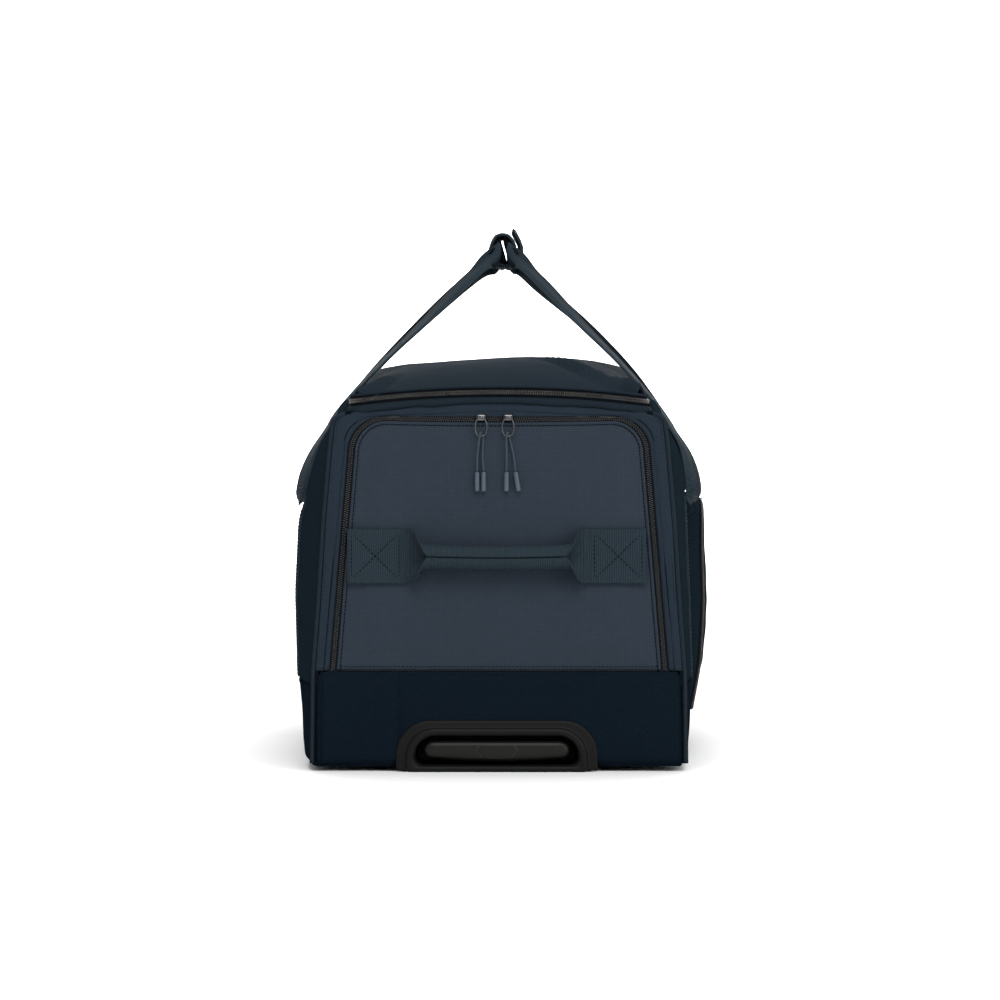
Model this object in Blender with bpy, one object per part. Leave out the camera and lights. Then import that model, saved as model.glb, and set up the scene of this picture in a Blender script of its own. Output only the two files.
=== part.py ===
"""Rolling duffel bag with a telescoping handle: every piece is one named closed solid.

Metres, +Z up. The handle end faces -Y, +X is to the right, and the bag stands on z = 0.
"""
import math

import bmesh
import bpy
import numpy as np
from mathutils import Vector

for old in list(bpy.data.objects):
    bpy.data.objects.remove(old, do_unlink=True)

# Driving dimensions of the soft body
LENGTH_HALF = 0.335
FABRIC = 0.0035
GAP = 0.0004
FLOOR_Z = 0.006
SEAM_END_Z = 0.093
SEAM_SIDE_Z = 0.079
RIM_HALF = 0.1375
RIM_TOP_Z = 0.3370
RIM_DROP = 0.0055
CROWN = 0.012
SHOULDER = 0.0233
WIDTH_AT = ((0.006, 0.093, 0.157, 0.231, 0.305, 0.328, 0.334),
            (0.172, 0.171, 0.166, 0.1615, 0.155, 0.152, 0.1385))
FULL_Z = (0.006, 0.05, 0.10, 0.16, 0.23, 0.26, 0.28, 0.30, 0.3125, 0.322, 0.328)
FULL_LEFT = (0.0125, 0.0178, 0.026, 0.033, 0.034, 0.0270, 0.0200, 0.0145, 0.0110, 0.0055, 0.0018)
FULL_RIGHT = (0.006, 0.0105, 0.015, 0.018, 0.0195, 0.0205, 0.0200, 0.0170, 0.0115, 0.0055, 0.0018)
# the left side stands out a little more beyond its carry strap feet
PUFF_Z = (0.238, 0.256, 0.275, 0.300, 0.312, 0.3228)
PUFF = (0.0, 0.0036, 0.0044, 0.0040, 0.0032, 0.0)

# Front pocket
ZIP_LOW = 0.154
ZIP_HIGH = 0.137
ZIP_TOP_Z = 0.3276
ZIP_RADIUS = 0.032
ZIP_BASE_Z = 0.0945
TAPE = 0.0042

# Side pocket on the right
POCKET_HALF = 0.140
POCKET_BASE_Z = 0.044
POCKET_TOP_Z = 0.246
POCKET_RADIUS = 0.035
POCKET_DEPTH = 0.0055
POCKET_RAISE = ((0.044, 0.070, 0.096, 0.150, 0.175, 0.205, 0.228, 0.246),
                (0.0020, 0.0050, 0.0075, 0.0120, 0.0118, 0.0122, 0.0135, 0.0150))

# Carry handles
STRAP_WIDTH = 0.040
STRAP_THICK = 0.002
ANCHOR_Y = 0.190
PIVOT_Z = 0.2440
PIVOT_X = (0.1930, 0.1822)
WRAP_X = 0.0035
WRAP_Z = 0.495
WRAP_HALF = 0.055

# Trolley
TROLLEY_X = -0.002
TUBE_X = 0.053
TUBE_Z = 0.018
TUBE_OUTER = (0.0120, 0.0070)
TUBE_MIDDLE = (0.0103, 0.0053)
TUBE_INNER = (0.0086, 0.0036)
TUBE_WALL = 0.0012
GRIP_HALF = 0.068
GRIP_FRONT_Y = -0.3365

# Wheels
WHEEL_R = 0.035
WHEEL_WIDTH = 0.024
WHEEL_X = 0.150
WHEEL_Y = 0.318


def material(name, rgb, roughness, metallic=0.0):
    look = bpy.data.materials.new(name)
    look.use_nodes = True
    shader = look.node_tree.nodes["Principled BSDF"]
    shader.inputs["Base Color"].default_value = (*rgb, 1.0)
    shader.inputs["Roughness"].default_value = roughness
    shader.inputs["Metallic"].default_value = metallic
    return look


LOOKS = {
    "ripstop": ((0.040, 0.052, 0.070), 0.75, 0.0),
    "twill": ((0.018, 0.030, 0.048), 0.80, 0.0),
    "lid": ((0.030, 0.042, 0.058), 0.75, 0.0),
    "webbing": ((0.036, 0.052, 0.066), 0.80, 0.0),
    "zip": ((0.010, 0.010, 0.011), 0.55, 0.0),
    "lining": ((0.050, 0.055, 0.060), 0.85, 0.0),
    "plastic": ((0.016, 0.016, 0.014), 0.38, 0.0),
    "tip": ((0.060, 0.085, 0.110), 0.45, 0.0),
    "alloy": ((0.450, 0.460, 0.470), 0.30, 1.0),
    "gunmetal": ((0.100, 0.100, 0.105), 0.28, 1.0),
    "steel": ((0.550, 0.550, 0.560), 0.25, 1.0),
    "rubber": ((0.020, 0.020, 0.020), 0.70, 0.0),
    "board": ((0.030, 0.030, 0.032), 0.70, 0.0),
}


def solid(name, verts, faces, look, pivot=None, smooth=True):
    """A closed mesh object, its faces out and its origin on the pivot."""
    pivot = Vector(pivot or (0, 0, 0))
    mesh = bpy.data.meshes.new(name)
    mesh.from_pydata([tuple(Vector(v) - pivot) for v in verts], [], faces)
    work = bmesh.new()
    work.from_mesh(mesh)
    bmesh.ops.recalc_face_normals(work, faces=work.faces)
    if work.calc_volume(signed=True) < 0:
        bmesh.ops.reverse_faces(work, faces=work.faces)
    for face in work.faces:
        face.smooth = smooth
    work.to_mesh(mesh)
    work.free()
    mesh.materials.append(material(name, *LOOKS[look]))
    obj = bpy.data.objects.new(name, mesh)
    obj.location = pivot
    bpy.context.scene.collection.objects.link(obj)
    return obj


def loft(name, loops, look, closed=False, pivot=None, smooth=True, split=False):
    """Join loops of equal length; the ends are capped, or joined to each other."""
    count, turns = len(loops[0]), len(loops)
    verts = [point for loop in loops for point in loop]
    faces = []
    for i in range(turns if closed else turns - 1):
        a, b = i * count, ((i + 1) % turns) * count
        for j in range(count):
            k = (j + 1) % count
            if split and j < count / 2:
                faces.append((a + j, a + k, b + k))
                faces.append((a + j, b + k, b + j))
            elif split:
                faces.append((a + j, a + k, b + j))
                faces.append((a + k, b + k, b + j))
            else:
                faces.append((a + j, a + k, b + k, b + j))
    if not closed:
        faces.append(tuple(range(count)))
        faces.append(tuple((turns - 1) * count + j for j in range(count)))
    return solid(name, verts, faces, look, pivot, smooth)


def sheet(name, grid, thick, look, pivot=None, flip=False):
    """A grid of outer points, thickened inwards along its own normals."""
    rows, cols = len(grid), len(grid[0])
    outer = [[Vector(p) for p in row] for row in grid]
    inner = []
    for i in range(rows):
        for j in range(cols):
            along = outer[min(i + 1, rows - 1)][j] - outer[max(i - 1, 0)][j]
            across = outer[i][min(j + 1, cols - 1)] - outer[i][max(j - 1, 0)]
            normal = across.cross(along).normalized()
            inner.append(outer[i][j] + normal * (thick if flip else -thick))
    verts = [p for row in outer for p in row] + inner
    size = rows * cols
    faces = []
    for i in range(rows - 1):
        for j in range(cols - 1):
            a = i * cols + j
            quad = (a, a + 1, a + cols + 1, a + cols)
            faces.append(quad)
            faces.append(tuple(v + size for v in reversed(quad)))
    rim = [j for j in range(cols)]
    rim += [i * cols + cols - 1 for i in range(1, rows)]
    rim += [(rows - 1) * cols + j for j in range(cols - 2, -1, -1)]
    rim += [i * cols for i in range(rows - 2, 0, -1)]
    for n, a in enumerate(rim):
        b = rim[(n + 1) % len(rim)]
        faces.append((a, b, b + size, a + size))
    return solid(name, verts, faces, look, pivot)


def cut(target, cutter):
    cutter.hide_render = True
    cutter.display_type = "WIRE"
    step = target.modifiers.new("cut", "BOOLEAN")
    step.operation = "DIFFERENCE"
    step.solver = "EXACT"
    step.object = cutter


def bevel(target, width, segments=2):
    step = target.modifiers.new("round", "BEVEL")
    step.width = width
    step.segments = segments
    step.limit_method = "ANGLE"
    step.angle_limit = math.radians(40)


def rounded(cx, cz, half_x, half_z, radius, steps=2, low=None):
    """A rounded rectangle as (x, z) pairs; low is the radius of the lower corners."""
    points = []
    for quarter, (sx, sz) in enumerate(((1, 1), (-1, 1), (-1, -1), (1, -1))):
        r = radius if sz > 0 or low is None else low
        for n in range(steps + 1):
            turn = math.radians(90 * quarter + 90 * n / steps)
            x = cx + sx * (half_x - r) + r * math.cos(turn)
            z = cz + sz * (half_z - r) + r * math.sin(turn)
            points.append((x, z))
    return points


def box(name, low, high, look, pivot=None):
    loops = []
    for y in (low[1], high[1]):
        corners = ((low[0], low[2]), (high[0], low[2]), (high[0], high[2]), (low[0], high[2]))
        loops.append([(x, y, z) for x, z in corners])
    return loft(name, loops, look, pivot=pivot, smooth=False)


def revolve(name, profile, centre, look, steps=28, pivot=None):
    """Turn (x, r) pairs about an axis along X through the centre."""
    loops = []
    for n in range(steps):
        turn = 2 * math.pi * n / steps
        loops.append([(centre[0] + x, centre[1] + r * math.cos(turn),
                       centre[2] + r * math.sin(turn)) for x, r in profile])
    return loft(name, loops, look, closed=True, pivot=pivot)


# ---- the soft body's surface -------------------------------------------------------

def half_width(z):
    return float(np.interp(z, *WIDTH_AT))


def side_x(y, z, side):
    full = FULL_RIGHT if side > 0 else FULL_LEFT
    swell = float(np.interp(z, FULL_Z, full)) if z < 0.3281 else 0.001
    power = float(np.interp(z, (0.03, 0.05, 0.10), (9.0, 7.0, 4.0)))
    puff = float(np.interp(z, PUFF_Z, PUFF)) if side < 0 else 0.0
    place = math.exp(-((abs(y) - 0.258) / 0.032) ** 2)
    return half_width(z) + swell * (1 - abs(y / LENGTH_HALF) ** power) + puff * place


def rim_z(x):
    """Height of the lower edge of the rain lip."""
    return RIM_TOP_Z - RIM_DROP * min(1.0, (x / 0.14) ** 2)


def span(start, end, count):
    return [start + (end - start) * n / (count - 1) for n in range(count)]


def plan_loop(z_of, inset, z_shape, corner=0.006):
    """The bag's outline seen from above, at the heights that z_of gives."""
    points = []

    def put(x, y):
        points.append((x, y, z_of(x, y)))

    length = LENGTH_HALF - inset
    for end in (-1, 1):
        wide = half_width(z_shape) - inset
        for x in span(-wide + corner, wide - corner, 8):
            put(-end * x, end * length)
        side = -end
        for n in (1, 2):
            turn = math.radians(30 * n)
            put(side * (wide - corner + corner * math.sin(turn)),
                end * (length - corner + corner * math.cos(turn)))
        for y in span(end * (length - corner), -end * (length - corner), 11):
            put(side * (side_x(y, z_shape, side) - inset), y)
        for n in (2, 1):
            turn = math.radians(30 * n)
            put(side * (wide - corner + corner * math.sin(turn)),
                -end * (length - corner + corner * math.cos(turn)))
    return half_loop(points)


def half_loop(points):
    """Drop repeats, so that the two passes around the ends close one loop."""
    kept = []
    for p in points:
        if all((Vector(p) - Vector(q)).length > 1e-5 for q in kept):
            kept.append(p)
    centre = Vector((0, 0, 0))
    kept.sort(key=lambda p: math.atan2(p[1] - centre.y, p[0] - centre.x))
    return kept


def base_tub():
    def at(z):
        return lambda x, y: z

    def top(inset):
        edge = LENGTH_HALF - inset - 0.0005
        return lambda x, y: SEAM_END_Z if abs(y) > edge else SEAM_SIDE_Z

    loops = [
        plan_loop(at(FLOOR_Z), 0.005, 0.006),
        plan_loop(at(0.0105), 0.0, 0.0105),
        plan_loop(at(0.035), 0.0, 0.035),
        plan_loop(at(0.060), 0.0, 0.060),
        plan_loop(top(0.0), 0.0, 0.079),
        plan_loop(top(0.003), 0.003, 0.079),
        plan_loop(at(0.060), 0.003, 0.060),
        plan_loop(at(0.035), 0.003, 0.035),
        plan_loop(at(0.0115), 0.004, 0.0105),
        plan_loop(at(0.0090), 0.007, 0.006),
    ]
    tub = loft("base_tub", loops, "twill")
    front = [[(x, y, z) for x, z in
              rounded(TROLLEY_X, 0.0165, 0.0890, 0.0275, 0.026, 4, 0.004)]
             for y in (-0.37, -0.2730)]
    cut(tub, loft("tub_front_cutter", front, "plastic"))
    for side in (-1, 1):
        low = (min(side * 0.1250, side * 0.22), 0.2710, -0.02)
        high = (max(side * 0.1250, side * 0.22), 0.37, 0.0800)
        cut(tub, box("tub_wheel_cutter_" + str(side + 1), low, high, "plastic"))
    return tub


def side_panel(name, side):
    grid = []
    for y in span(-0.3310, 0.3310, 15):
        row = []
        for z in (0.0796, 0.110, 0.145, 0.180, 0.215, 0.245, 0.270, 0.290, 0.306, 0.320,
                  0.3280):
            row.append((side * side_x(y, z, side), y, z))
        full = 1 - abs(y / 0.3310) ** 6
        tuck = math.exp(-((abs(y) - 0.262) / 0.036) ** 2)
        for x, flat, rise, pull in ((0.1497, 0.3288, 0.0035, 0.0030),
                                    (0.1474, 0.3297, 0.0063, 0.0032),
                                    (0.1436, 0.3305, 0.0068, 0.0048)):
            row.append((side * x, y, flat + rise * full + pull * tuck))
        grid.append(row)
    sheet(name, grid, FABRIC, "twill", flip=side > 0)


def top_edge(x):
    return rim_z(x) - GAP


def outline_path(sign):
    """Left lower corner of an end panel, up and over to the right lower corner."""
    points = [(-half_width(z), z) for z in span(SEAM_END_Z + GAP, 0.318, 7)]
    points += [(-0.1530, 0.3245), (-0.1500, 0.3290), (-0.1450, 0.3307)]
    points += [(x, top_edge(x)) for x in span(-0.1385, 0.1385, 9)]
    points += [(0.1450, 0.3307), (0.1500, 0.3290), (0.1530, 0.3245)]
    points += [(half_width(z), z) for z in span(0.318, SEAM_END_Z + GAP, 7)]
    return points


def zip_path(offset):
    """The front pocket's zip line, moved outwards by the offset."""
    z_turn = ZIP_TOP_Z - ZIP_RADIUS
    lean = (ZIP_LOW - ZIP_HIGH) / (z_turn - ZIP_BASE_Z)
    points = []
    for z in span(ZIP_BASE_Z, z_turn, 7):
        points.append((-(ZIP_LOW - lean * (z - ZIP_BASE_Z)) - offset, z))
    r = ZIP_RADIUS + offset
    for n in (1, 2, 3):
        turn = math.radians(22.5 * n)
        points.append((-(ZIP_HIGH - ZIP_RADIUS) - r * math.cos(turn),
                       z_turn + r * math.sin(turn)))
    flat = ZIP_HIGH - ZIP_RADIUS
    points += [(x, ZIP_TOP_Z + offset) for x in span(-flat, flat, 9)]
    mirror = [(-x, z) for x, z in reversed(points[:10])]
    return points + mirror


def front_panels():
    inner = zip_path(TAPE + GAP)
    outer = outline_path(1)
    grid = []
    for (xa, za), (xb, zb) in zip(inner, outer):
        row = []
        for t in (0.0, 0.5, 1.0):
            row.append((xa + (xb - xa) * t, -LENGTH_HALF, za + (zb - za) * t))
        grid.append(row)
    sheet("front_border", grid, FABRIC, "ripstop", flip=True)

    y = -LENGTH_HALF + 0.0006
    for name, near, far in (("front_zip_outer", 0.00015, TAPE),
                            ("front_zip_inner", -0.00015, -TAPE)):
        pivot = None if near > 0 else FLAP_AXIS
        loops = []
        for (xa, za), (xb, zb) in zip(zip_path(near), zip_path(far)):
            loops.append([(xa, y, za), (xb, y, zb), (xb, y + 0.002, zb), (xa, y + 0.002, za)])
        loft(name, loops, "zip", pivot=pivot)

    edge = zip_path(-TAPE - GAP)
    left, right = edge[:11], list(reversed(edge))[:11]
    grid = []
    for (xa, za), (xb, zb) in zip(left, right):
        row = []
        for t in span(0.0, 1.0, 9):
            lift = 0.0020 * math.sin(math.pi * t)
            lift *= min(1.0, 12 * (za - ZIP_BASE_Z), 12 * (ZIP_TOP_Z - TAPE - GAP - za))
            row.append((xa + (xb - xa) * t, -LENGTH_HALF - lift, za))
        grid.append(row)
    sheet("front_pocket_flap", grid, 0.0030, "ripstop", pivot=FLAP_AXIS)

    grid = []
    for z in (0.0950, 0.104, 0.116, 0.170, 0.230, 0.285, 0.305, 0.3150, 0.3230):
        wide = half_width(z) - FABRIC - 0.0015
        row = []
        for u in (-1.0, -0.94, -0.88, -0.82, -0.4, 0.0, 0.4, 0.82, 0.88, 0.94, 1.0):
            deep = min(1.0, max(0.0, (0.94 - abs(u)) / 0.10))
            deep *= min(1.0, max(0.0, (0.3180 - z) / 0.014), max(0.0, (z - 0.098) / 0.014))
            row.append((wide * u, -LENGTH_HALF + FABRIC + GAP + 0.009 * deep, z))
        grid.append(row)
    sheet("front_pocket_lining", grid, 0.0020, "lining")


def rear_panel():
    low, high = SEAM_END_Z + GAP, 0.318
    grid = []
    for z in span(low, high, 7):
        grid.append([(half_width(z) * u, LENGTH_HALF, z) for u in span(1, -1, 9)])
    grid.append([(0.1530 * u, LENGTH_HALF, 0.3245) for u in span(1, -1, 9)])
    grid.append([(0.1420 * u, LENGTH_HALF, top_edge(0.1420 * u)) for u in span(1, -1, 9)])
    sheet("rear_panel", grid, FABRIC, "ripstop")


def rim_path(inset, closed, rear=0.3305):
    """Plan of the top opening: (x, y) pairs with their outward direction."""
    corner = 0.016
    half, length = RIM_HALF, 0.3335
    points = []

    def arc(cx, cy, start):
        for n in range(4):
            turn = math.radians(start + 30 * n)
            out = (math.cos(turn), math.sin(turn))
            r = corner - inset
            points.append((cx + r * out[0], cy + r * out[1], out))

    inner_x, inner_y = half - corner, length - corner
    for y in span(rear if not closed else inner_y - 0.02, -inner_y + 0.02, 9):
        points.append((-half + inset, y, (-1, 0)))
    arc(-inner_x, -inner_y, 180)
    for x in span(-inner_x + 0.02, inner_x - 0.02, 7):
        points.append((x, -length + inset, (0, -1)))
    arc(inner_x, -inner_y, 270)
    for y in span(-inner_y + 0.02, rear if not closed else inner_y - 0.02, 9):
        points.append((half - inset, y, (1, 0)))
    if closed:
        arc(inner_x, inner_y, 0)
        for x in span(inner_x - 0.02, -inner_x + 0.02, 7):
            points.append((x, length - inset, (0, 1)))
        arc(-inner_x, inner_y, 90)
    return points


def rim_band(name, low, high, out, inset, look, closed, pivot=None, rear=0.3305):
    """A band that follows the opening, between two heights above the rain lip's edge."""
    loops = []
    for x, y, (ox, oy) in rim_path(0.0, closed, rear):
        base = rim_z(x)
        loop = []
        for side, height in ((out, low), (out, high), (inset, high), (inset, low)):
            loop.append((x + ox * side, y + oy * side, base + height))
        loops.append(loop)
    loft(name, loops, look, closed=closed, pivot=pivot)


def lid():
    half, length, corner = RIM_HALF - 0.0002, 0.3333, 0.016
    ys = [-length, -length + 0.0012, -length + 0.0050, -length + 0.010, -length + corner]
    ys += [-0.280, -0.220, -0.150, -0.075]
    ys += [0.0] + [-y for y in reversed(ys)]
    us = (1.0, 0.985, 0.95, 0.88, 0.75, 0.55, 0.28)
    us = us + (0.0,) + tuple(-u for u in reversed(us))
    grid = []
    for y in ys:
        over = abs(y) - (length - corner)
        wide = half
        if over > 0:
            wide = half - corner + math.sqrt(max(0.0, corner ** 2 - over ** 2))
        row = []
        for u in us:
            x = wide * u
            along = 1 - abs(y / length) ** 7
            full = 4.3 + 9 * math.exp(-(y / 0.06) ** 2)
            rise = SHOULDER * (1 - abs(u) ** full) * along + CROWN * (1 - u * u) * along
            rise += 0.006 * u * (1 - u * u) * along
            arch = (rim_z(x) - rim_z(half)) * abs(y / length) ** 7
            row.append((x, y, rim_z(half) + arch + 0.0212 + rise))
        grid.append(row)
    sheet("lid", grid, 0.0026, "lid", pivot=LID_AXIS, flip=True)


# ---- side pocket ------------------------------------------------------------------

def pocket_path(offset):
    points = []
    z_turn = POCKET_TOP_Z - POCKET_RADIUS
    for z in span(POCKET_BASE_Z, z_turn, 6):
        points.append((-POCKET_HALF - offset, z))
    r = POCKET_RADIUS + offset
    for n in (1, 2, 3):
        turn = math.radians(22.5 * n)
        points.append((-(POCKET_HALF - POCKET_RADIUS) - r * math.cos(turn),
                       z_turn + r * math.sin(turn)))
    flat = POCKET_HALF - POCKET_RADIUS
    points += [(y, POCKET_TOP_Z + offset) for y in span(-flat, flat, 5)]
    return points + [(-y, z) for y, z in reversed(points[:9])]


def pocket_foot_x(y, z):
    """Just outside the side panel and the top of the tub, whichever is further out."""
    return max(side_x(y, z, 1), side_x(y, min(z, SEAM_SIDE_Z), 1) if z < 0.085 else 0)


def pocket_base_x(y, z):
    """The level of the pocket's zip, which a gusset holds off the side."""
    return pocket_foot_x(y, z) + float(np.interp(z, *POCKET_RAISE))


def side_pocket():
    for name, near, far in (("side_zip_outer", 0.00015, TAPE),
                            ("side_zip_inner", -0.00015, -TAPE)):
        pivot = None if near > 0 else POCKET_AXIS
        loops = []
        for (ya, za), (yb, zb) in zip(pocket_path(near), pocket_path(far)):
            xa, xb = pocket_base_x(ya, za) + 0.0011, pocket_base_x(yb, zb) + 0.0011
            loops.append([(xa, ya, za), (xb, yb, zb), (xb + 0.002, yb, zb), (xa + 0.002, ya, za)])
        if near > 0:
            for loop, (yc, zc), (yb, zb) in zip(loops, pocket_path(TAPE - 0.0016),
                                                pocket_path(TAPE)):
                low_c, low_b = pocket_foot_x(yc, zc) + GAP, pocket_foot_x(yb, zb) + GAP
                loop[1:2] = [(pocket_base_x(yc, zc) + 0.0011, yc, zc), (low_c, yc, zc),
                             (low_b, yb, zb)]
        loft(name, loops, "zip", pivot=pivot)
    edge = pocket_path(-TAPE - GAP)
    left, right = edge[:10], list(reversed(edge))[:10]
    grid = []
    for (ya, za), (yb, zb) in zip(left, right):
        row = []
        for t in (0.0, 0.04, 0.12, 0.25, 0.375, 0.5, 0.625, 0.75, 0.88, 0.96, 1.0):
            y = ya + (yb - ya) * t
            height = (za - POCKET_BASE_Z) / (POCKET_TOP_Z - POCKET_BASE_Z)
            puff = (1 - (2 * t - 1) ** 6) * (1 - max(0.0, 2 * height - 1) ** 4)
            puff *= min(1.0, 0.15 + 4 * height)
            row.append((pocket_base_x(y, za) + 0.0035 + POCKET_DEPTH * puff, y, za))
        grid.append(row)
    sheet("side_pocket_panel", grid, 0.0024, "twill", pivot=POCKET_AXIS)


# ---- webbing ----------------------------------------------------------------------

def strap_anchor(name, side, y_mid):
    grid = []
    for y in span(y_mid - STRAP_WIDTH / 2, y_mid + STRAP_WIDTH / 2, 4):
        row = []
        for z in span(0.0800, PIVOT_Z - 0.0014, 8):
            row.append((side * (side_x(y, z, side) + GAP + STRAP_THICK), y, z))
        grid.append(row)
    sheet(name, grid, STRAP_THICK, "webbing", flip=side > 0)


STRAP_ROUTE = (
    # out from the middle, along the bag, height, twist in degrees
    (0.1898, 0.190, 0.2600, 20.0),
    (0.1856, 0.187, 0.2785, 19.0),
    (0.1775, 0.180, 0.2991, 13.0),
    (0.1638, 0.170, 0.3219, 8.5),
    (0.1512, 0.158, 0.3419, 6.5),
    (0.1172, 0.134, 0.3806, 8.0),
    (0.0775, 0.108, 0.4200, 14.0),
    (0.0414, 0.083, 0.4579, 23.5),
    (0.0233, 0.0705, 0.4756, 28.0),
)
REAR_SLACK = ((0.0005, 0.002, 0.005, 0.008, 0.010, 0.012, 0.012, 0.007, 0.002),
              (0.0005, 0.003, 0.008, 0.0115, 0.0103, 0.0131, 0.0113, 0.0012, -0.001))
# the right strap's feet sit a little closer in and turn more: how far, and degrees
RIGHT_FOOT = ((0.0033, 5.0), (0.0012, 2.5), (-0.0005, 0.0))


def strap_sections(side, rear=False):
    """Cross-sections of one leg, from its pivot up to the wrap, as if in the -Y half."""
    pivot_x = PIVOT_X[0] if side < 0 else PIVOT_X[1]
    centres, turns = [], []
    for (out, along, z, turn), slack in zip(STRAP_ROUTE, REAR_SLACK[0 if side < 0 else 1]):
        lean = WRAP_X * max(0.0, (z - 0.34) / 0.155)
        out += slack if rear else 0.0
        if side > 0 and len(centres) < len(RIGHT_FOOT):
            out -= RIGHT_FOOT[len(centres)][0]
            turn += RIGHT_FOOT[len(centres)][1]
        centres.append(Vector((side * out + lean, -along, z)))
        turns.append(math.radians(turn))
    foot = Vector((side * pivot_x, -ANCHOR_Y, PIVOT_Z))
    sections = []
    for drop, thick in ((-0.0010, 0.0005), (-0.0006, 0.0016), (0.0, STRAP_THICK)):
        centre = foot + Vector((0, 0, drop))
        sections.append((centre, Vector((0, 1, 0)), Vector((side, 0, 0)), STRAP_WIDTH, thick))
    for n, centre in enumerate(centres):
        before = centres[n - 1] if n else foot
        after = centres[min(n + 1, len(centres) - 1)]
        run = (after - before).normalized()
        flat = Vector((0, 1, 0)) - run * run.y
        flat.normalize()
        face = run.cross(flat).normalized()
        if face.x * side < 0:
            face = -face
        wide = flat * math.cos(turns[n]) + face * math.sin(turns[n])
        out = face * math.cos(turns[n]) - flat * math.sin(turns[n])
        width = STRAP_WIDTH - 0.012 * max(0.0, (centre.z - 0.40) / 0.08)
        sections.append((centre, wide, out, width, STRAP_THICK))
    for out, along, z, share in ((0.0120, 0.0625, 0.4850, 0.6), (0.0060, 0.0575, 0.4900, 0.9)):
        wide = (sections[-1][1] * (1 - share) + Vector((0, 0, 1)) * share).normalized()
        face = Vector((side, 0, 0))
        face = (face - wide * face.dot(wide)).normalized()
        sections.append((Vector((WRAP_X + side * out, -along, z)), wide, face, 0.024, 0.0024))
    sections.append((Vector((WRAP_X + side * 0.0050, -0.050, 0.4922)), Vector((0, 0, 1)),
                     Vector((side, 0, 0)), 0.022, 0.0028))
    return sections


def carry_strap(name, side):
    front = strap_sections(side)
    loops = []
    for centre, wide, out, width, thick in front:
        loops.append([centre + wide * (a * width / 2) + out * (b * thick / 2)
                      for a, b in ((-1, -1), (1, -1), (1, 1), (-1, 1))])
    back = []
    for centre, wide, out, width, thick in reversed(strap_sections(side, True)):
        loop = [centre + wide * (a * width / 2) + out * (b * thick / 2)
                for a, b in ((1, -1), (-1, -1), (-1, 1), (1, 1))]
        back.append([Vector((p.x, -p.y, p.z)) for p in loop])
    loft(name, fix_twist(loops + back), "webbing", pivot=carry_axis(side), split=True)


def fix_twist(loops):
    """Start each loop at the corner nearest to the one before, so that no face twists."""
    fixed = [list(loops[0])]
    for loop in loops[1:]:
        options = []
        for start in range(4):
            for way in (1, -1):
                options.append([loop[(start + way * n) % 4] for n in range(4)])
        last = fixed[-1]
        options.sort(key=lambda o: sum((Vector(a) - Vector(b)).length for a, b in zip(o, last)))
        fixed.append(options[0])
    return fixed


def carry_axis(side):
    return (side * (PIVOT_X[0] if side < 0 else PIVOT_X[1]), 0.0, PIVOT_Z)


def wrap_outline(turn, inset):
    """The wrap's egg-shaped section: wide above, narrow below."""
    up = math.sin(turn)
    wide = 0.0175 - 0.0075 * max(0.0, -up) ** 1.5
    tall = 0.0185
    return (WRAP_X + (wide - inset) * math.cos(turn), WRAP_Z + (tall - inset) * up)


def handle_wrap(name, start, end, side, tail):
    outer = [wrap_outline(math.radians(a), 0.0) for a in span(start, end, 13)]
    inner = [wrap_outline(math.radians(a), 0.0034) for a in span(end, start, 13)]
    if tail:
        outer += [(WRAP_X + 0.0045, WRAP_Z + 0.0215), (WRAP_X + 0.0085, WRAP_Z + 0.0222)][::-1]
        outer.append((WRAP_X + 0.0078, WRAP_Z + 0.0170))
    profile = outer + inner
    loops = [[(x, y, z) for x, z in profile] for y in (-WRAP_HALF, 0.0, WRAP_HALF)]
    loft(name, loops, "webbing", pivot=carry_axis(side))


def haul_handle(prefix, end, pivot):
    """A wide webbing sewn down at both ends, gathered through a tubular grip."""
    face = LENGTH_HALF + 0.0030 + 0.0022
    stations = (
        # along, out from the panel, half height, thickness
        (-0.1370, 0.0000, 0.0245, 0.0018),
        (-0.0880, 0.0000, 0.0250, 0.0018),
        (-0.0780, 0.0040, 0.0200, 0.0022),
        (-0.0690, 0.0090, 0.0090, 0.0032),
        (-0.0600, 0.0115, 0.0060, 0.0036),
    )
    stations = stations + tuple((-x, d, h, t) for x, d, h, t in reversed(stations))
    loops = []
    for x, out, half, thick in stations:
        y = face + out
        loop = []
        for dy, dz in ((-1, -1), (1, -1), (1, 1), (-1, 1)):
            loop.append((x - 0.002, end * (y + dy * thick / 2), 0.2000 + dz * half))
        loops.append(loop)
    if prefix == "rear":
        loft("rear_haul_handle", loops, "webbing", pivot=pivot)
        return
    loft("front_haul_webbing", loops, "webbing", pivot=pivot)
    rings = []
    sizes = (((-0.0590, 0.0095, 0.0062), (-0.0565, 0.0105, 0.0072), (0.0565, 0.0105, 0.0072),
              (0.0590, 0.0095, 0.0062)), ((0.0590, 0.0070, 0.0027), (-0.0590, 0.0070, 0.0027)))
    for x, tall, deep in sizes[0] + sizes[1]:
        core = deep < 0.003
        ring = []
        for n in range(12):
            turn = 2 * math.pi * (n + 0.5) / 12
            a, b = math.cos(turn), math.sin(turn)
            if core:
                a = max(-1.0, min(1.0, a * 1.3))
                b = max(-1.0, min(1.0, b * 1.3))
            ring.append((x - 0.002, end * (face + 0.0115 + deep * a), 0.2000 + tall * b))
        rings.append(ring)
    loft("front_haul_grip", rings, "webbing", closed=True, pivot=pivot)


# ---- zip hardware -----------------------------------------------------------------

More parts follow.
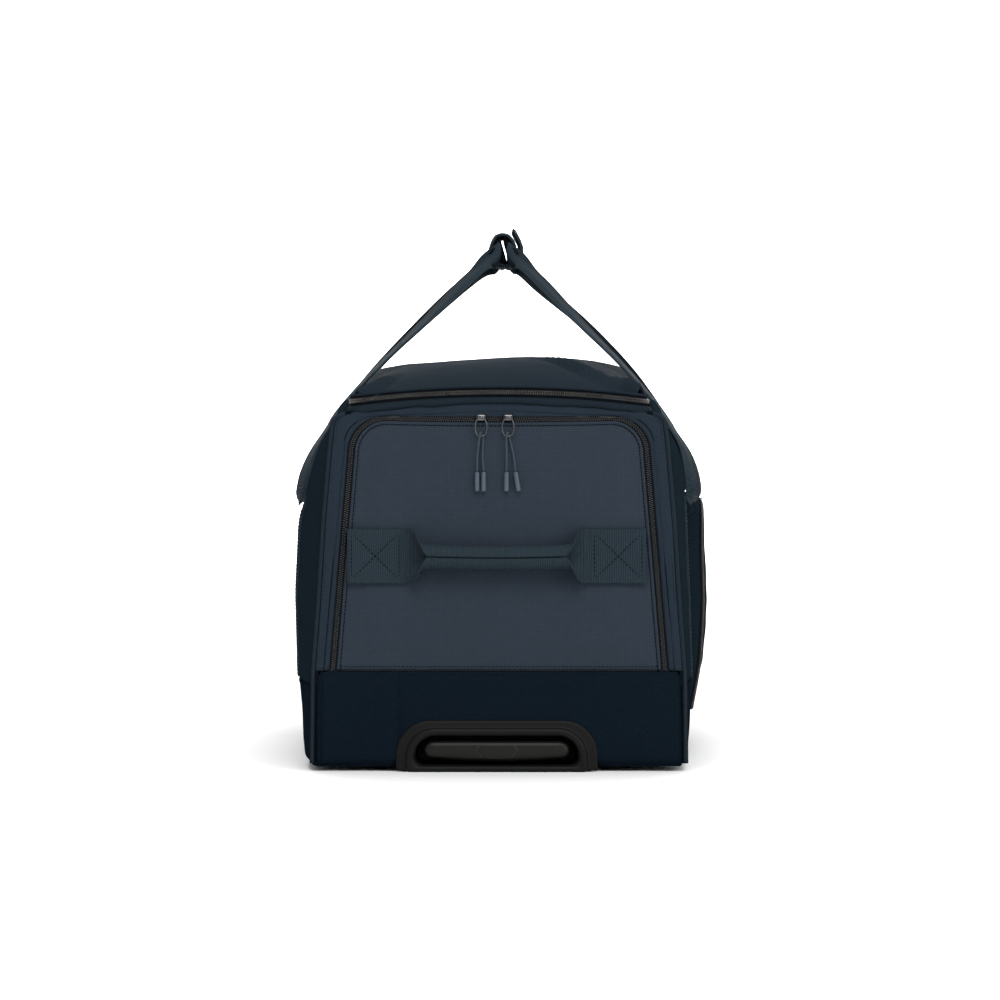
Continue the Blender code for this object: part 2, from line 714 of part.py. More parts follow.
def slider_body(name, x, pivot=None, way="front", at=None):
    """A zip slider: a plate with a lug and a hole, drawn along its own hinge axis."""
    outer = ((0.0, -0.0050), (0.0, 0.0042), (0.0020, 0.0046), (0.0024, 0.0018),
             (0.0052, 0.0014), (0.0058, -0.0008), (0.0048, -0.0030), (0.0022, -0.0034),
             (0.0018, -0.0050))
    hole = ((0.0026, -0.0018), (0.0026, -0.0012), (0.0026, -0.0005), (0.0029, 0.0002),
            (0.0036, 0.0004), (0.0043, 0.0002), (0.0045, -0.0006), (0.0042, -0.0014),
            (0.0034, -0.0020))
    loops = []
    for profile, half in ((outer, -0.0030), (outer, 0.0030), (hole, 0.0030), (hole, -0.0030)):
        loop = []
        for out, up in profile:
            if way == "front":
                loop.append((x + half, at[0] - out, at[1] + up))
            else:
                loop.append((at[0] + out, x + half, at[1] + up))
        loops.append(loop)
    loft(name, loops, "gunmetal", closed=True, pivot=pivot, smooth=False)


def ring(name, cx, y, top, half_w, height, wire, look, pivot):
    """An oval wire ring that hangs from its top bar."""
    loops = []
    path = rounded(cx, top - height / 2, half_w, height / 2, 0.0024, 3, half_w * 0.9)
    for n, (x, z) in enumerate(path):
        before, after = path[n - 1], path[(n + 1) % len(path)]
        out = Vector((after[1] - before[1], 0, before[0] - after[0]))
        out.normalize()
        loop = []
        for n in range(6):
            turn = 2 * math.pi * n / 6
            loop.append(Vector((x, y, z)) + out * (wire / 2 * math.cos(turn))
                        + Vector((0, wire / 2 * math.sin(turn), 0)))
        loops.append(loop)
    loft(name, loops, look, closed=True, pivot=pivot)


def smooth_route(points, step):
    """A smooth curve through the route's points, read at even steps."""
    route = [Vector(p) for p in points]
    dense = []
    for n in range(len(route) - 1):
        a, b, c, d = (route[max(n - 1, 0)], route[n], route[n + 1],
                      route[min(n + 2, len(route) - 1)])
        for k in range(20):
            t = k / 20
            dense.append(0.5 * (2 * b + (c - a) * t + (2 * a - 5 * b + 4 * c - d) * t * t
                                + (3 * b - 3 * c + d - a) * t ** 3))
    dense.append(route[-1])
    total = sum((q - p).length for p, q in zip(dense, dense[1:]))
    count = max(2, round(total / step))
    kept, walked, goal = [dense[0]], 0.0, total / count
    for p, q in zip(dense, dense[1:]):
        piece = (q - p).length
        while walked + piece >= goal - 1e-9 and len(kept) < count:
            kept.append(p.lerp(q, (goal - walked) / piece))
            goal += total / count
        walked += piece
    kept.append(dense[-1])
    return kept


def cord(name, route, diameter, look):
    curve = bpy.data.curves.new(name, "CURVE")
    curve.dimensions = "3D"
    curve.bevel_depth = diameter / 2
    curve.bevel_resolution = 2
    curve.use_fill_caps = True
    curve.render_resolution_u = 0
    points = smooth_route(route, diameter * 2.0)
    spline = curve.splines.new("POLY")
    spline.points.add(len(points) - 1)
    pivot = Vector(route[0])
    for n, p in enumerate(points):
        spline.points[n].co = (*(p - pivot), 1.0)
    curve.materials.append(material(name, *LOOKS[look]))
    obj = bpy.data.objects.new(name, curve)
    obj.location = pivot
    bpy.context.scene.collection.objects.link(obj)


def tip(name, top, lean, pivot):
    """A moulded tip on the end of a pull cord; lean tilts its foot to the side."""
    run = Vector((lean, 0, -1)).normalized()
    side = run.cross(Vector((0, 1, 0))).normalized()
    loops = []
    for along, r in ((0.0, 0.0018), (0.0006, 0.0021), (0.0170, 0.0024), (0.0180, 0.0019)):
        loop = []
        for n in range(8):
            turn = 2 * math.pi * n / 8
            loop.append(Vector(top) + run * along + side * (r * math.cos(turn))
                        + Vector((0, r * math.sin(turn), 0)))
        loops.append(loop)
    loft(name, loops, "tip", pivot=pivot)


PULL_Y = -0.3395
LUG = 0.0036
CORD_THICK = 0.0026


def front_pull(side, x):
    """Slider, ring, looped cord and two tips of one half of the front pocket's zip."""
    word = "left" if side < 0 else "right"
    plate_y = -LENGTH_HALF - 0.0008
    slide = (x, plate_y, ZIP_TOP_Z)
    slider_body(word + "_zip_slider", x, slide, "front", (plate_y, ZIP_TOP_Z + 0.0010))
    hang_y = plate_y - LUG
    hang_z = ZIP_TOP_Z + 0.0010 - 0.0008
    pivot = (x, hang_y, hang_z)
    ring(word + "_pull_ring", x, hang_y, hang_z, 0.0050, 0.0165, 0.0012,
         "gunmetal", pivot)
    foot = hang_z - 0.0165
    out = side * 0.0007
    ends = ((-0.0030, 0.0), (0.0030, 0.0)) if side < 0 else ((-0.0022, 0.0), (0.0062, 0.16))
    tip_z = foot - 0.0335
    route = [
        (x + ends[0][0] + out, hang_y - 0.0006, tip_z + GAP),
        (x + ends[0][0] * 0.9 + out, hang_y - 0.0010, tip_z + 0.0150),
        (x - 0.0016, hang_y - 0.0022, foot - 0.0030),
        (x - 0.0009, hang_y - 0.0024, foot + 0.0012),
        (x - 0.0003, hang_y - 0.0002, foot + 0.0034),
        (x + 0.0006, hang_y + 0.0022, foot + 0.0010),
        (x + 0.0018, hang_y + 0.0012, foot - 0.0040),
        (x + ends[1][0] * 0.7 + out, hang_y + 0.0002, tip_z + 0.0150),
        (x + ends[1][0] + out, hang_y - 0.0006, tip_z + GAP),
    ]
    cord(word + "_pull_cord", route, 0.0020, "webbing")
    for n, (shift, lean) in enumerate(ends):
        label = word + ("_outer_tip" if (n == 0) == (side < 0) else "_inner_tip")
        tip(label, (x + shift + out, hang_y - 0.0006, tip_z), lean, pivot)


# ---- trolley ----------------------------------------------------------------------

def trolley_housing():
    def loop(y, half_x, low, high, radius, foot):
        mid, half_z = (low + high) / 2, (high - low) / 2
        return [(x, y, z) for x, z in rounded(TROLLEY_X, mid, half_x, half_z, radius, 5, foot)]

    loops = [
        loop(-0.2740, 0.0885, 0.0000, 0.0435, 0.026, 0.003),
        loop(-0.3352, 0.0885, 0.0000, 0.0435, 0.026, 0.003),
        loop(-0.3355, 0.0935, 0.0018, 0.0475, 0.032, 0.003),
        loop(-0.3372, 0.0935, 0.0018, 0.0475, 0.032, 0.003),
        loop(-0.3382, 0.0920, 0.0028, 0.0462, 0.031, 0.003),
        loop(-0.3385, 0.0840, 0.0000, 0.0410, 0.028, 0.003),
        loop(-0.3412, 0.0830, 0.0000, 0.0398, 0.027, 0.003),
        loop(-0.3425, 0.0790, 0.0026, 0.0362, 0.025, 0.005),
        loop(-0.3400, 0.0760, 0.0054, 0.0334, 0.0190, 0.008),
        loop(-0.3000, 0.0750, 0.0060, 0.0328, 0.0180, 0.008),
    ]
    body = loft("trolley_housing", loops, "plastic")
    for side in (-1, 1):
        x = TROLLEY_X + side * TUBE_X
        hole = [[(px, y, pz) for px, pz in rounded(x, TUBE_Z, 0.0112, 0.0062, 0.0030)]
                for y in (-0.32, -0.26)]
        cut(body, loft("housing_cutter_" + str(side + 1), hole, "plastic"))


def tube(name, x, y_front, y_rear, half, look, pivot=None):
    def loop(y, wall):
        return [(px, y, pz) for px, pz in
                rounded(x, TUBE_Z, half[0] - wall, half[1] - wall, 0.0030 - wall)]

    loops = [loop(y_front, 0), loop(y_rear, 0), loop(y_rear, TUBE_WALL), loop(y_front, TUBE_WALL)]
    loft(name, loops, look, closed=True, pivot=pivot)


def grip_loop(y, inset, crown=0.0):
    """The grip's lens-like outline: flat above, its lower edge bowed down."""
    points = []
    half = GRIP_HALF - inset
    top, low = 0.0285 - inset, 0.0092 + inset
    for n in range(5):
        turn = math.radians(-60 + 150 * n / 4)
        r = 0.0085
        points.append((TROLLEY_X + half - r + r * math.cos(turn), top - r + r * math.sin(turn)))
    for n in range(5):
        turn = math.radians(90 + 150 * n / 4)
        r = 0.0085
        points.append((TROLLEY_X - half + r + r * math.cos(turn), top - r + r * math.sin(turn)))
    for n in range(1, 8):
        t = n / 8
        x = TROLLEY_X - half + 0.012 + (2 * half - 0.024) * t
        points.append((x, low + 0.0030 * (2 * t - 1) ** 2))
    return [(x, y, z) for x, z in points]


def button_loop(y, grow):
    half_top, half_low, tall = 0.0190 + grow, 0.0150 + grow, 0.0058 + grow
    mid = 0.0188
    points = []
    for sx, sz, half in ((1, 1, half_top), (-1, 1, half_top), (-1, -1, half_low), (1, -1, half_low)):
        points.append((TROLLEY_X + sx * (half - 0.002), y, mid + sz * tall))
        points.append((TROLLEY_X + sx * half, y, mid + sz * (tall - 0.003)))
    order = (1, 0, 2, 3, 5, 4, 6, 7)
    return [points[i] for i in order]


def trolley():
    trolley_housing()
    for side, word in ((-1, "left"), (1, "right")):
        x = TROLLEY_X + side * TUBE_X
        tube("outer_tube_" + word, x, -0.2735, 0.2620, TUBE_OUTER, "alloy")
        tube("middle_tube_" + word, x, -0.2900, 0.2400, TUBE_MIDDLE, "alloy",
             (TROLLEY_X, -0.2900, TUBE_Z))
        tube("inner_tube_" + word, x, -0.3115, 0.2200, TUBE_INNER, "alloy", GRIP_AXIS)

    front = loft("grip_front_shell", [
        grip_loop(-0.3255, 0.0), grip_loop(-0.3320, 0.0), grip_loop(-0.3352, 0.0010),
        grip_loop(GRIP_FRONT_Y, 0.0030)], "plastic", pivot=GRIP_AXIS)
    opening = [button_loop(-0.345, 0.0003), button_loop(-0.320, 0.0003)]
    cut(front, loft("grip_front_cutter", opening, "plastic"))

    rear = loft("grip_rear_shell", [
        grip_loop(-0.3120, 0.0025), grip_loop(-0.3140, 0.0), grip_loop(-0.3252, 0.0)],
        "plastic", pivot=GRIP_AXIS)
    well = [[(TROLLEY_X + 0.0042 * math.cos(t), y, 0.0188 + 0.0042 * math.sin(t))
             for t in [2 * math.pi * n / 12 for n in range(12)]] for y in (-0.330, -0.3160)]
    cut(rear, loft("grip_rear_cutter", well, "plastic"))

    button = [button_loop(-0.3290, 0.0), button_loop(-0.3364, 0.0), button_loop(-0.3370, -0.0010)]
    loft("release_button", button, "plastic", pivot=(TROLLEY_X, -0.3290, 0.0188), smooth=False)

    loops = []
    turns, per = 4, 10
    for n in range(turns * per + 1):
        a = 2 * math.pi * n / per
        y = -0.3164 - 0.0118 * n / (turns * per)
        out = Vector((math.cos(a), 0, math.sin(a)))
        centre = Vector((TROLLEY_X, y, 0.0188)) + out * 0.0032
        loops.append([centre + out * (0.0004 * math.cos(t)) + Vector((0, 0.0004 * math.sin(t), 0))
                      for t in [2 * math.pi * k / 5 for k in range(5)]])
    loft("button_spring", loops, "steel", pivot=(TROLLEY_X, -0.3164, 0.0188))


# ---- wheels -----------------------------------------------------------------------

def wheel_unit(side, word):
    x = side * WHEEL_X
    xs = (side * 0.1262, side * 0.1745)
    outline = ((0.2720, 0.0140), (0.2720, 0.0700), (0.2740, 0.0765), (0.2790, 0.0788),
               (0.3300, 0.0788), (0.3385, 0.0765), (0.3430, 0.0710), (0.3450, 0.0600),
               (0.3450, 0.0480), (0.3150, 0.0260), (0.2960, 0.0140))
    housing = loft("wheel_housing_" + word,
                   [[(px, y, z) for y, z in outline] for px in sorted(xs)], "plastic",
                   smooth=False)
    well = [[(px, WHEEL_Y + 0.0385 * math.cos(t), WHEEL_R + 0.0385 * math.sin(t))
             for t in [2 * math.pi * n / 24 for n in range(24)]]
            for px in sorted((side * 0.1360, side * 0.1640))]
    cut(housing, loft("well_cutter_" + word, well, "plastic"))
    bore = [[(px, WHEEL_Y + 0.0034 * math.cos(t), WHEEL_R + 0.0034 * math.sin(t))
             for t in [2 * math.pi * n / 12 for n in range(12)]]
            for px in sorted((side * 0.1200, side * 0.1800))]
    cut(housing, loft("bore_cutter_" + word, bore, "plastic"))
    centre = (x, WHEEL_Y, WHEEL_R)
    axle = [[(px, WHEEL_Y + 0.0030 * math.cos(t), WHEEL_R + 0.0030 * math.sin(t))
             for t in [2 * math.pi * n / 12 for n in range(12)]]
            for px in sorted((side * 0.1268, side * 0.1738))]
    loft("axle_" + word, axle, "steel")
    half = WHEEL_WIDTH / 2
    tyre = ((-half + 0.001, 0.0260), (-half, 0.0285), (-half, 0.0320), (-half + 0.003, WHEEL_R),
            (half - 0.003, WHEEL_R), (half, 0.0320), (half, 0.0285), (half - 0.001, 0.0260))
    revolve("tyre_" + word, tyre, centre, "rubber", pivot=centre)
    hub = ((-half + 0.0005, 0.0034), (-half + 0.0005, 0.0080), (-0.004, 0.0110),
           (-0.004, 0.0200), (-half + 0.002, 0.0225), (-half + 0.002, 0.0256),
           (half - 0.002, 0.0256), (half - 0.002, 0.0225), (0.004, 0.0200), (0.004, 0.0110),
           (half - 0.0005, 0.0080), (half - 0.0005, 0.0034))
    revolve("hub_" + word, hub, centre, "plastic", pivot=centre)


# ---- assembly ---------------------------------------------------------------------

FLAP_AXIS = (0.0, -LENGTH_HALF, ZIP_BASE_Z - 0.0006)
POCKET_AXIS = (side_x(0, POCKET_BASE_Z, 1) + 0.0022, 0.0, POCKET_BASE_Z - 0.0008)
LID_AXIS = (0.0, 0.3335, 0.3550)
GRIP_AXIS = (TROLLEY_X, -0.3115, TUBE_Z)

base_tub()
board = box("base_board", (-0.122, -0.2700, 0.0275), (0.122, 0.3250, 0.0305), "board")
bevel(board, 0.0010, 1)
side_panel("left_side_panel", -1)
side_panel("right_side_panel", 1)
front_panels()
rear_panel()
rim_band("rain_lip", GAP, 0.0092, 0.0030, -0.0020, "lid", True)
rim_band("lid_zip_lower", 0.0096, 0.0138, 0.0010, -0.0010, "zip", False)
rim_band("lid_zip_upper", 0.0141, 0.0180, 0.0010, -0.0010, "zip", False, LID_AXIS, 0.3240)
hinge_loops = []
for x in span(-0.121, 0.121, 9):
    hinge_loops.append([(x, 0.3325, rim_z(x) + 0.0096), (x, 0.3345, rim_z(x) + 0.0096),
                        (x, 0.3345, rim_z(x) + 0.0176), (x, 0.3325, rim_z(x) + 0.0176)])
loft("lid_hinge_strip", hinge_loops, "lid")
lid()
side_pocket()

for side, word in ((-1, "left"), (1, "right")):
    strap_anchor(word + "_front_strap_anchor", side, -ANCHOR_Y)
    strap_anchor(word + "_rear_strap_anchor", side, ANCHOR_Y)
    carry_strap(word + "_carry_strap", side)
handle_wrap("handle_wrap_left", 72, 268, -1, False)
handle_wrap("handle_wrap_right", -90, 58, 1, True)
haul_handle("front", -1, FLAP_AXIS)
haul_handle("rear", 1, None)

front_pull(-1, -0.0165)
front_pull(1, 0.0085)
lid_zip_z = rim_z(RIM_HALF) + 0.0150
slider_body("lid_zip_slider", 0.0, (RIM_HALF + 0.0016, 0.0, lid_zip_z), "side",
            (RIM_HALF + 0.0014, lid_zip_z))
pocket_zip = (pocket_base_x(0, POCKET_TOP_Z) + 0.0046, POCKET_TOP_Z)
slider_body("side_zip_slider", 0.0, (pocket_zip[0], 0.0, POCKET_TOP_Z), "side", pocket_zip)

trolley()
wheel_unit(-1, "left")
wheel_unit(1, "right")
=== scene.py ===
"""Looks of the rolling duffel bag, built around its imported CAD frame.

Metres, +Z up. The handle end faces -Y, +X is to the right, and the bag stands on z = 0.
Tables inside mm() are in millimetres.
"""
from math import copysign, cos, exp, hypot, pi, radians, sin, sqrt

import bmesh
import bpy
import numpy as np
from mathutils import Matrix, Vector, noise

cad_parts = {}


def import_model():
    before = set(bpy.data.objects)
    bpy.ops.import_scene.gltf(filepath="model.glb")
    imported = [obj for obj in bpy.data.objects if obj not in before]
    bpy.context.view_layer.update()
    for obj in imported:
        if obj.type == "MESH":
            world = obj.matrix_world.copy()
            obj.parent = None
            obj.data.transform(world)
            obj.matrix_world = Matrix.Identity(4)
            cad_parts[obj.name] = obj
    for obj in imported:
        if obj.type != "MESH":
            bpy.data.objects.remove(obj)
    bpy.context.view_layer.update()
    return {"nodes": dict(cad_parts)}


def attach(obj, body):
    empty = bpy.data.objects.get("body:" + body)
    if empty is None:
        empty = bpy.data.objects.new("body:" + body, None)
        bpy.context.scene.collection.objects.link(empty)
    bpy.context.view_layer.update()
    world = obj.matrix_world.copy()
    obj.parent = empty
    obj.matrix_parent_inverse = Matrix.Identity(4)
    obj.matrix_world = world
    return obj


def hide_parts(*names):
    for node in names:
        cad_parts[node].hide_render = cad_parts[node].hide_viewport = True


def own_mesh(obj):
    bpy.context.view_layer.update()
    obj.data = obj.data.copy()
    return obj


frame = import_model()
NODES = frame["nodes"]
TAU = 2 * pi
UP = np.array((0.0, 0.0, 1.0))
FRONT, RIGHT = (0, -1, 0), (1, 0, 0)
SIDES = ((-1, "left"), (1, "right"))
ENDS = ((-1, "front"), (1, "rear"))


def mm(*rows):
    return np.array(rows) / 1000


# The soft body's driving dimensions, as the CAD has them
LENGTH_HALF = 0.335
FLOOR_Z = 0.006
SEAM_END_Z, SEAM_SIDE_Z = 0.093, 0.079
RIM_HALF, RIM_TOP_Z, RIM_DROP = 0.1375, 0.3370, 0.0055
RIM_CORNER = 0.016
CROWN, SHOULDER = 0.012, 0.0233
WIDTH_AT = mm((6, 93, 157, 231, 305, 328, 334), (172, 171, 166, 161.5, 155, 152, 138.5))
FULL_Z = mm(6, 50, 100, 160, 230, 260, 280, 300, 312.5, 322, 328)
FULL_LEFT = mm(12.5, 17.8, 26, 33, 34, 27, 20, 14.5, 11, 5.5, 1.8)
FULL_RIGHT = mm(6, 10.5, 15, 18, 19.5, 20.5, 20, 17, 11.5, 5.5, 1.8)
PUFF = mm((238, 256, 275, 300, 312, 322.8), (0, 5.2, 6.4, 6.0, 4.2, 0))
ZIP_LOW, ZIP_HIGH = 0.154, 0.137
ZIP_BASE_Z, ZIP_TOP_Z, ZIP_RADIUS = 0.0945, 0.3276, 0.032
ZIP_FLAT, ZIP_TURN_Z, ZIP_DIP = ZIP_HIGH - ZIP_RADIUS, ZIP_TOP_Z - ZIP_RADIUS, 0.0012
ZIP_TILT = 0.5
HEM, HEM_TOP = 0.0036, 0.0013
POCKET_HALF, POCKET_RADIUS, POCKET_DEPTH = 0.140, 0.035, 0.0055
POCKET_BASE_Z, POCKET_TOP_Z = 0.044, 0.246
POCKET_RAISE = mm((44, 70, 96, 150, 175, 205, 228, 246), (2, 5, 7.5, 12, 11.8, 12.2, 13.5, 15))
STRAP_WIDTH = 0.040
ANCHOR_Y = 0.190
PIVOT_X, PIVOT_Z = {-1: 0.1930, 1: 0.1822}, 0.2440
WRAP_X, WRAP_Z, WRAP_HALF = 0.0035, 0.495, 0.055
TROLLEY_X = -0.002
GRIP_HALF = 0.068
WHEEL_R, WHEEL_X, WHEEL_Y = 0.035, 0.150, 0.318


# ---- materials --------------------------------------------------------------------

class Graph:
    """A node material with short calls for the nodes that the looks need."""

    def __init__(self, name):
        self.look = bpy.data.materials.new(name)
        self.look.use_nodes = True
        self.tree = self.look.node_tree
        self.shader = self.tree.nodes["Principled BSDF"]

    def add(self, kind):
        return self.tree.nodes.new("ShaderNode" + kind)

    def feed(self, socket, value):
        if isinstance(value, bpy.types.NodeSocket):
            self.tree.links.new(value, socket)
        else:
            socket.default_value = value

    def calc(self, operation, *values):
        node = self.add("Math")
        node.operation = operation
        for socket, value in zip(node.inputs, values):
            self.feed(socket, value)
        return node.outputs[0]

    def vary(self, value, weight, base):
        """The base, moved up and down by a value from 0 to 1."""
        return self.calc("MULTIPLY_ADD", self.calc("SUBTRACT", value, 0.5), weight, base)

    def weave(self):
        """The cloth's own coordinates, in metres across and along it."""
        node = self.add("UVMap")
        node.uv_map = "weave"
        split = self.add("SeparateXYZ")
        self.feed(split.inputs[0], node.outputs[0])
        return split.outputs[0], split.outputs[1]

    def noise(self, size, detail=2.0):
        """Noise with blobs of about that size in metres."""
        node = self.add("TexNoise")
        self.feed(node.inputs["Vector"], self.add("TexCoord").outputs["Object"])
        node.inputs["Scale"].default_value = 1.0 / size
        node.inputs["Detail"].default_value = detail
        return node.outputs[0]

    def wave(self, value, pitch):
        """A sine from 0 to 1 that repeats every pitch."""
        turn = self.calc("MULTIPLY_ADD", value, TAU / pitch, 0.0)
        return self.calc("MULTIPLY_ADD", self.calc("SINE", turn), 0.5, 0.5)

    def bump(self, height, depth):
        node = self.add("Bump")
        node.inputs["Distance"].default_value = depth
        self.feed(node.inputs["Height"], height)
        self.feed(self.shader.inputs["Normal"], node.outputs[0])

    def finish(self, rgb, shade, roughness, sheen=0.0, specular=0.35, metallic=0.0):
        colour = self.add("RGB")
        colour.outputs[0].default_value = (*rgb, 1.0)
        shaded = self.add("VectorMath")
        shaded.operation = "SCALE"
        self.feed(shaded.inputs[0], colour.outputs[0])
        self.feed(shaded.inputs["Scale"], shade)
        for socket, value in (("Base Color", shaded.outputs[0]), ("Roughness", roughness),
                              ("Metallic", metallic), ("Specular IOR Level", specular),
                              ("Sheen Weight", sheen), ("Sheen Roughness", 0.5)):
            self.feed(self.shader.inputs[socket], value)
        return self.look


def cloth(name, rgb, kind, pitch, contrast, depth, specular, sheen, grain):
    """Woven cloth: its threads as height and shade, with uneven dye and fine melange."""
    g = Graph(name)
    u, v = g.weave()
    if kind == "ripstop":
        grid = g.calc("MAXIMUM", g.wave(u, pitch), g.wave(v, pitch))
        fine = g.calc("MULTIPLY", g.wave(u, pitch / 4), g.wave(v, pitch / 4))
        height = g.calc("MULTIPLY_ADD", fine, 0.2, g.calc("MULTIPLY", grid, 0.8))
    elif kind == "twill":
        slant = g.wave(g.calc("SUBTRACT", u, v), pitch)
        height = g.calc("MULTIPLY_ADD", g.wave(v, pitch * 0.5), 0.2,
                        g.calc("MULTIPLY", slant, 0.8))
    elif kind == "rib":
        ribs = g.wave(v, pitch)
        ends = g.wave(u, pitch * 0.8)
        height = g.calc("MULTIPLY_ADD", g.calc("MULTIPLY", ribs, ends), 0.55,
                        g.calc("MULTIPLY", ribs, 0.45))
    elif kind == "braid":
        height = g.calc("MAXIMUM", *(g.wave(g.calc(way, u, v), pitch)
                                     for way in ("ADD", "SUBTRACT")))
    else:
        height = g.calc("MULTIPLY_ADD", g.wave(u, pitch), 0.5,
                        g.calc("MULTIPLY", g.wave(v, pitch), 0.5))
    threads, dye = g.noise(0.0011, 1.0), g.noise(0.07, 3.0)
    shade = g.vary(threads, grain, g.vary(dye, 0.12, g.vary(height, contrast, 1.0)))
    g.bump(g.calc("MULTIPLY_ADD", threads, 0.4, height), depth)
    return g.finish(rgb, shade, g.vary(threads, 0.15, 0.80), sheen, specular)


def moulded(name, rgb, roughness, depth, grain, specular, metallic, wear):
    """Moulded plastic, rubber or plated metal with a fine grain and uneven gloss."""
    g = Graph(name)
    pits, haze = g.noise(grain, 2.0), g.noise(0.018, 4.0)
    shade, rough = g.vary(haze, wear * 2, 1.0), g.vary(haze, 0.14, roughness)
    g.bump(pits, depth)
    return g.finish(rgb, shade, rough, 0.0, specular, metallic)


# colour, weave, its pitch in mm, contrast, depth in mm, gloss, sheen and melange
CLOTHS = {
    "ripstop": ((19.5, 27, 38), "ripstop", 1.95, 0.70, 0.18, 0.06, 0.02, 0.45),
    "border": ((13.2, 20.5, 29.5), "ripstop", 1.95, 0.50, 0.14, 0.04, 0.01, 0.40),
    "twill": ((4.5, 8.5, 13.5), "twill", 1.85, 0.80, 0.16, 0.0, 0.0, 0.60),
    "side": ((7.5, 13.5, 18.5), "twill", 1.90, 0.40, 0.14, 0.0, 0.0, 0.30),
    "lid": ((10.8, 16.5, 22.5), "plain", 0.90, 0.25, 0.08, 0.01, 0.0, 0.30),
    "lining": ((60, 64, 70), "plain", 1.10, 0.20, 0.06, 0.12, 0.02, 0.30),
    "webbing": ((19, 29, 37.5), "rib", 2.10, 0.60, 0.30, 0.03, 0.0, 0.30),
    "binding": ((13, 20, 28), "rib", 1.00, 0.25, 0.08, 0.02, 0.0, 0.30),
    "thread": ((3.5, 5.5, 8), "braid", 0.80, 0.30, 0.10, 0.02, 0.0, 0.30),
    "cord": ((33, 47, 62), "braid", 1.20, 0.35, 0.14, 0.12, 0.02, 0.30),
    "tape": ((3, 4.5, 6), "twill", 1.20, 0.35, 0.10, 0.02, 0.0, 0.30),
    "selvage": ((7.5, 11.5, 16), "twill", 1.20, 0.35, 0.10, 0.02, 0.0, 0.30),
}
# colour, roughness, depth and size of the grain in mm, gloss, metal and unevenness
MOULDED = {
    "teeth": ((40, 40, 39), 0.34, 0.06, 0.7, 0.50, 0.0, 0.3),
    "coil": ((75, 74, 70), 0.28, 0.06, 0.7, 0.60, 0.0, 0.3),
    "plastic": ((5.2, 5.8, 5.2), 0.50, 0.06, 0.7, 0.10, 0.0, 0.1),
    "gloss": ((8, 8.6, 7.2), 0.36, 0.03, 0.7, 0.18, 0.0, 0.1),
    "tip": ((40, 62, 82), 0.38, 0.03, 0.7, 0.50, 0.0, 0.1),
    "gunmetal": ((105, 105, 108), 0.24, 0.06, 0.7, 0.50, 1.0, 0.2),
    "alloy": ((500, 510, 520), 0.30, 0.06, 0.7, 0.50, 1.0, 0.1),
    "steel": ((580, 580, 590), 0.22, 0.06, 0.7, 0.50, 1.0, 0.1),
    "rubber": ((14, 14, 14), 0.70, 0.12, 1.2, 0.50, 0.0, 0.1),
    "hub": ((24, 25, 27), 0.42, 0.06, 0.7, 0.50, 0.0, 0.1),
    "board": ((22, 23, 25), 0.62, 0.10, 1.5, 0.50, 0.0, 0.1),
}
LOOK = {name: cloth(name, mm(*rgb), kind, pitch / 1000, contrast, depth / 1000, *more)
        for name, (rgb, kind, pitch, contrast, depth, *more) in CLOTHS.items()}
LOOK.update({name: moulded(name, mm(*rgb), rough, depth / 1000, grain / 1000, *more)
             for name, (rgb, rough, depth, grain, *more) in MOULDED.items()})


# ---- mesh helpers -----------------------------------------------------------------

def span(start, end, count):
    return np.linspace(start, end, count)


def clamp(value, low=0.0, high=1.0):
    return max(low, min(high, value))


def bell(value, width):
    return exp(-(value / width) ** 2)


def rumple(x, y, z, size, seed=0.0):
    return noise.noise(Vector((x / size + seed, y / size - seed, z / size + 2 * seed)))


def unit(vectors):
    return vectors / np.maximum(np.linalg.norm(vectors, axis=-1, keepdims=True), 1e-12)


def xy(p):
    return p[0], p[1]


def xz(p):
    return p[0], p[2]


def yz(p):
    return p[1], p[2]


def outwards(p):
    return p * np.array((1.0, 1.0, 0.0))


def make(name, verts, faces, look, coords, smooth=True, solid=True):
    """A mesh object; coords are the weave coordinates of each face's corners."""
    mesh = bpy.data.meshes.new(name)
    mesh.from_pydata([tuple(map(float, v)) for v in verts], [], faces)
    layer = mesh.uv_layers.new(name="weave")
    layer.data.foreach_set("uv", [float(x) for face in coords for uv in face for x in uv])
    if solid:
        work = bmesh.new()
        work.from_mesh(mesh)
        bmesh.ops.recalc_face_normals(work, faces=work.faces)
        work.to_mesh(mesh)
        work.free()
    mesh.polygons.foreach_set("use_smooth", [smooth] * len(mesh.polygons))
    mesh.materials.append(LOOK[look])
    obj = bpy.data.objects.new(name, mesh)
    bpy.context.scene.collection.objects.link(obj)
    return obj


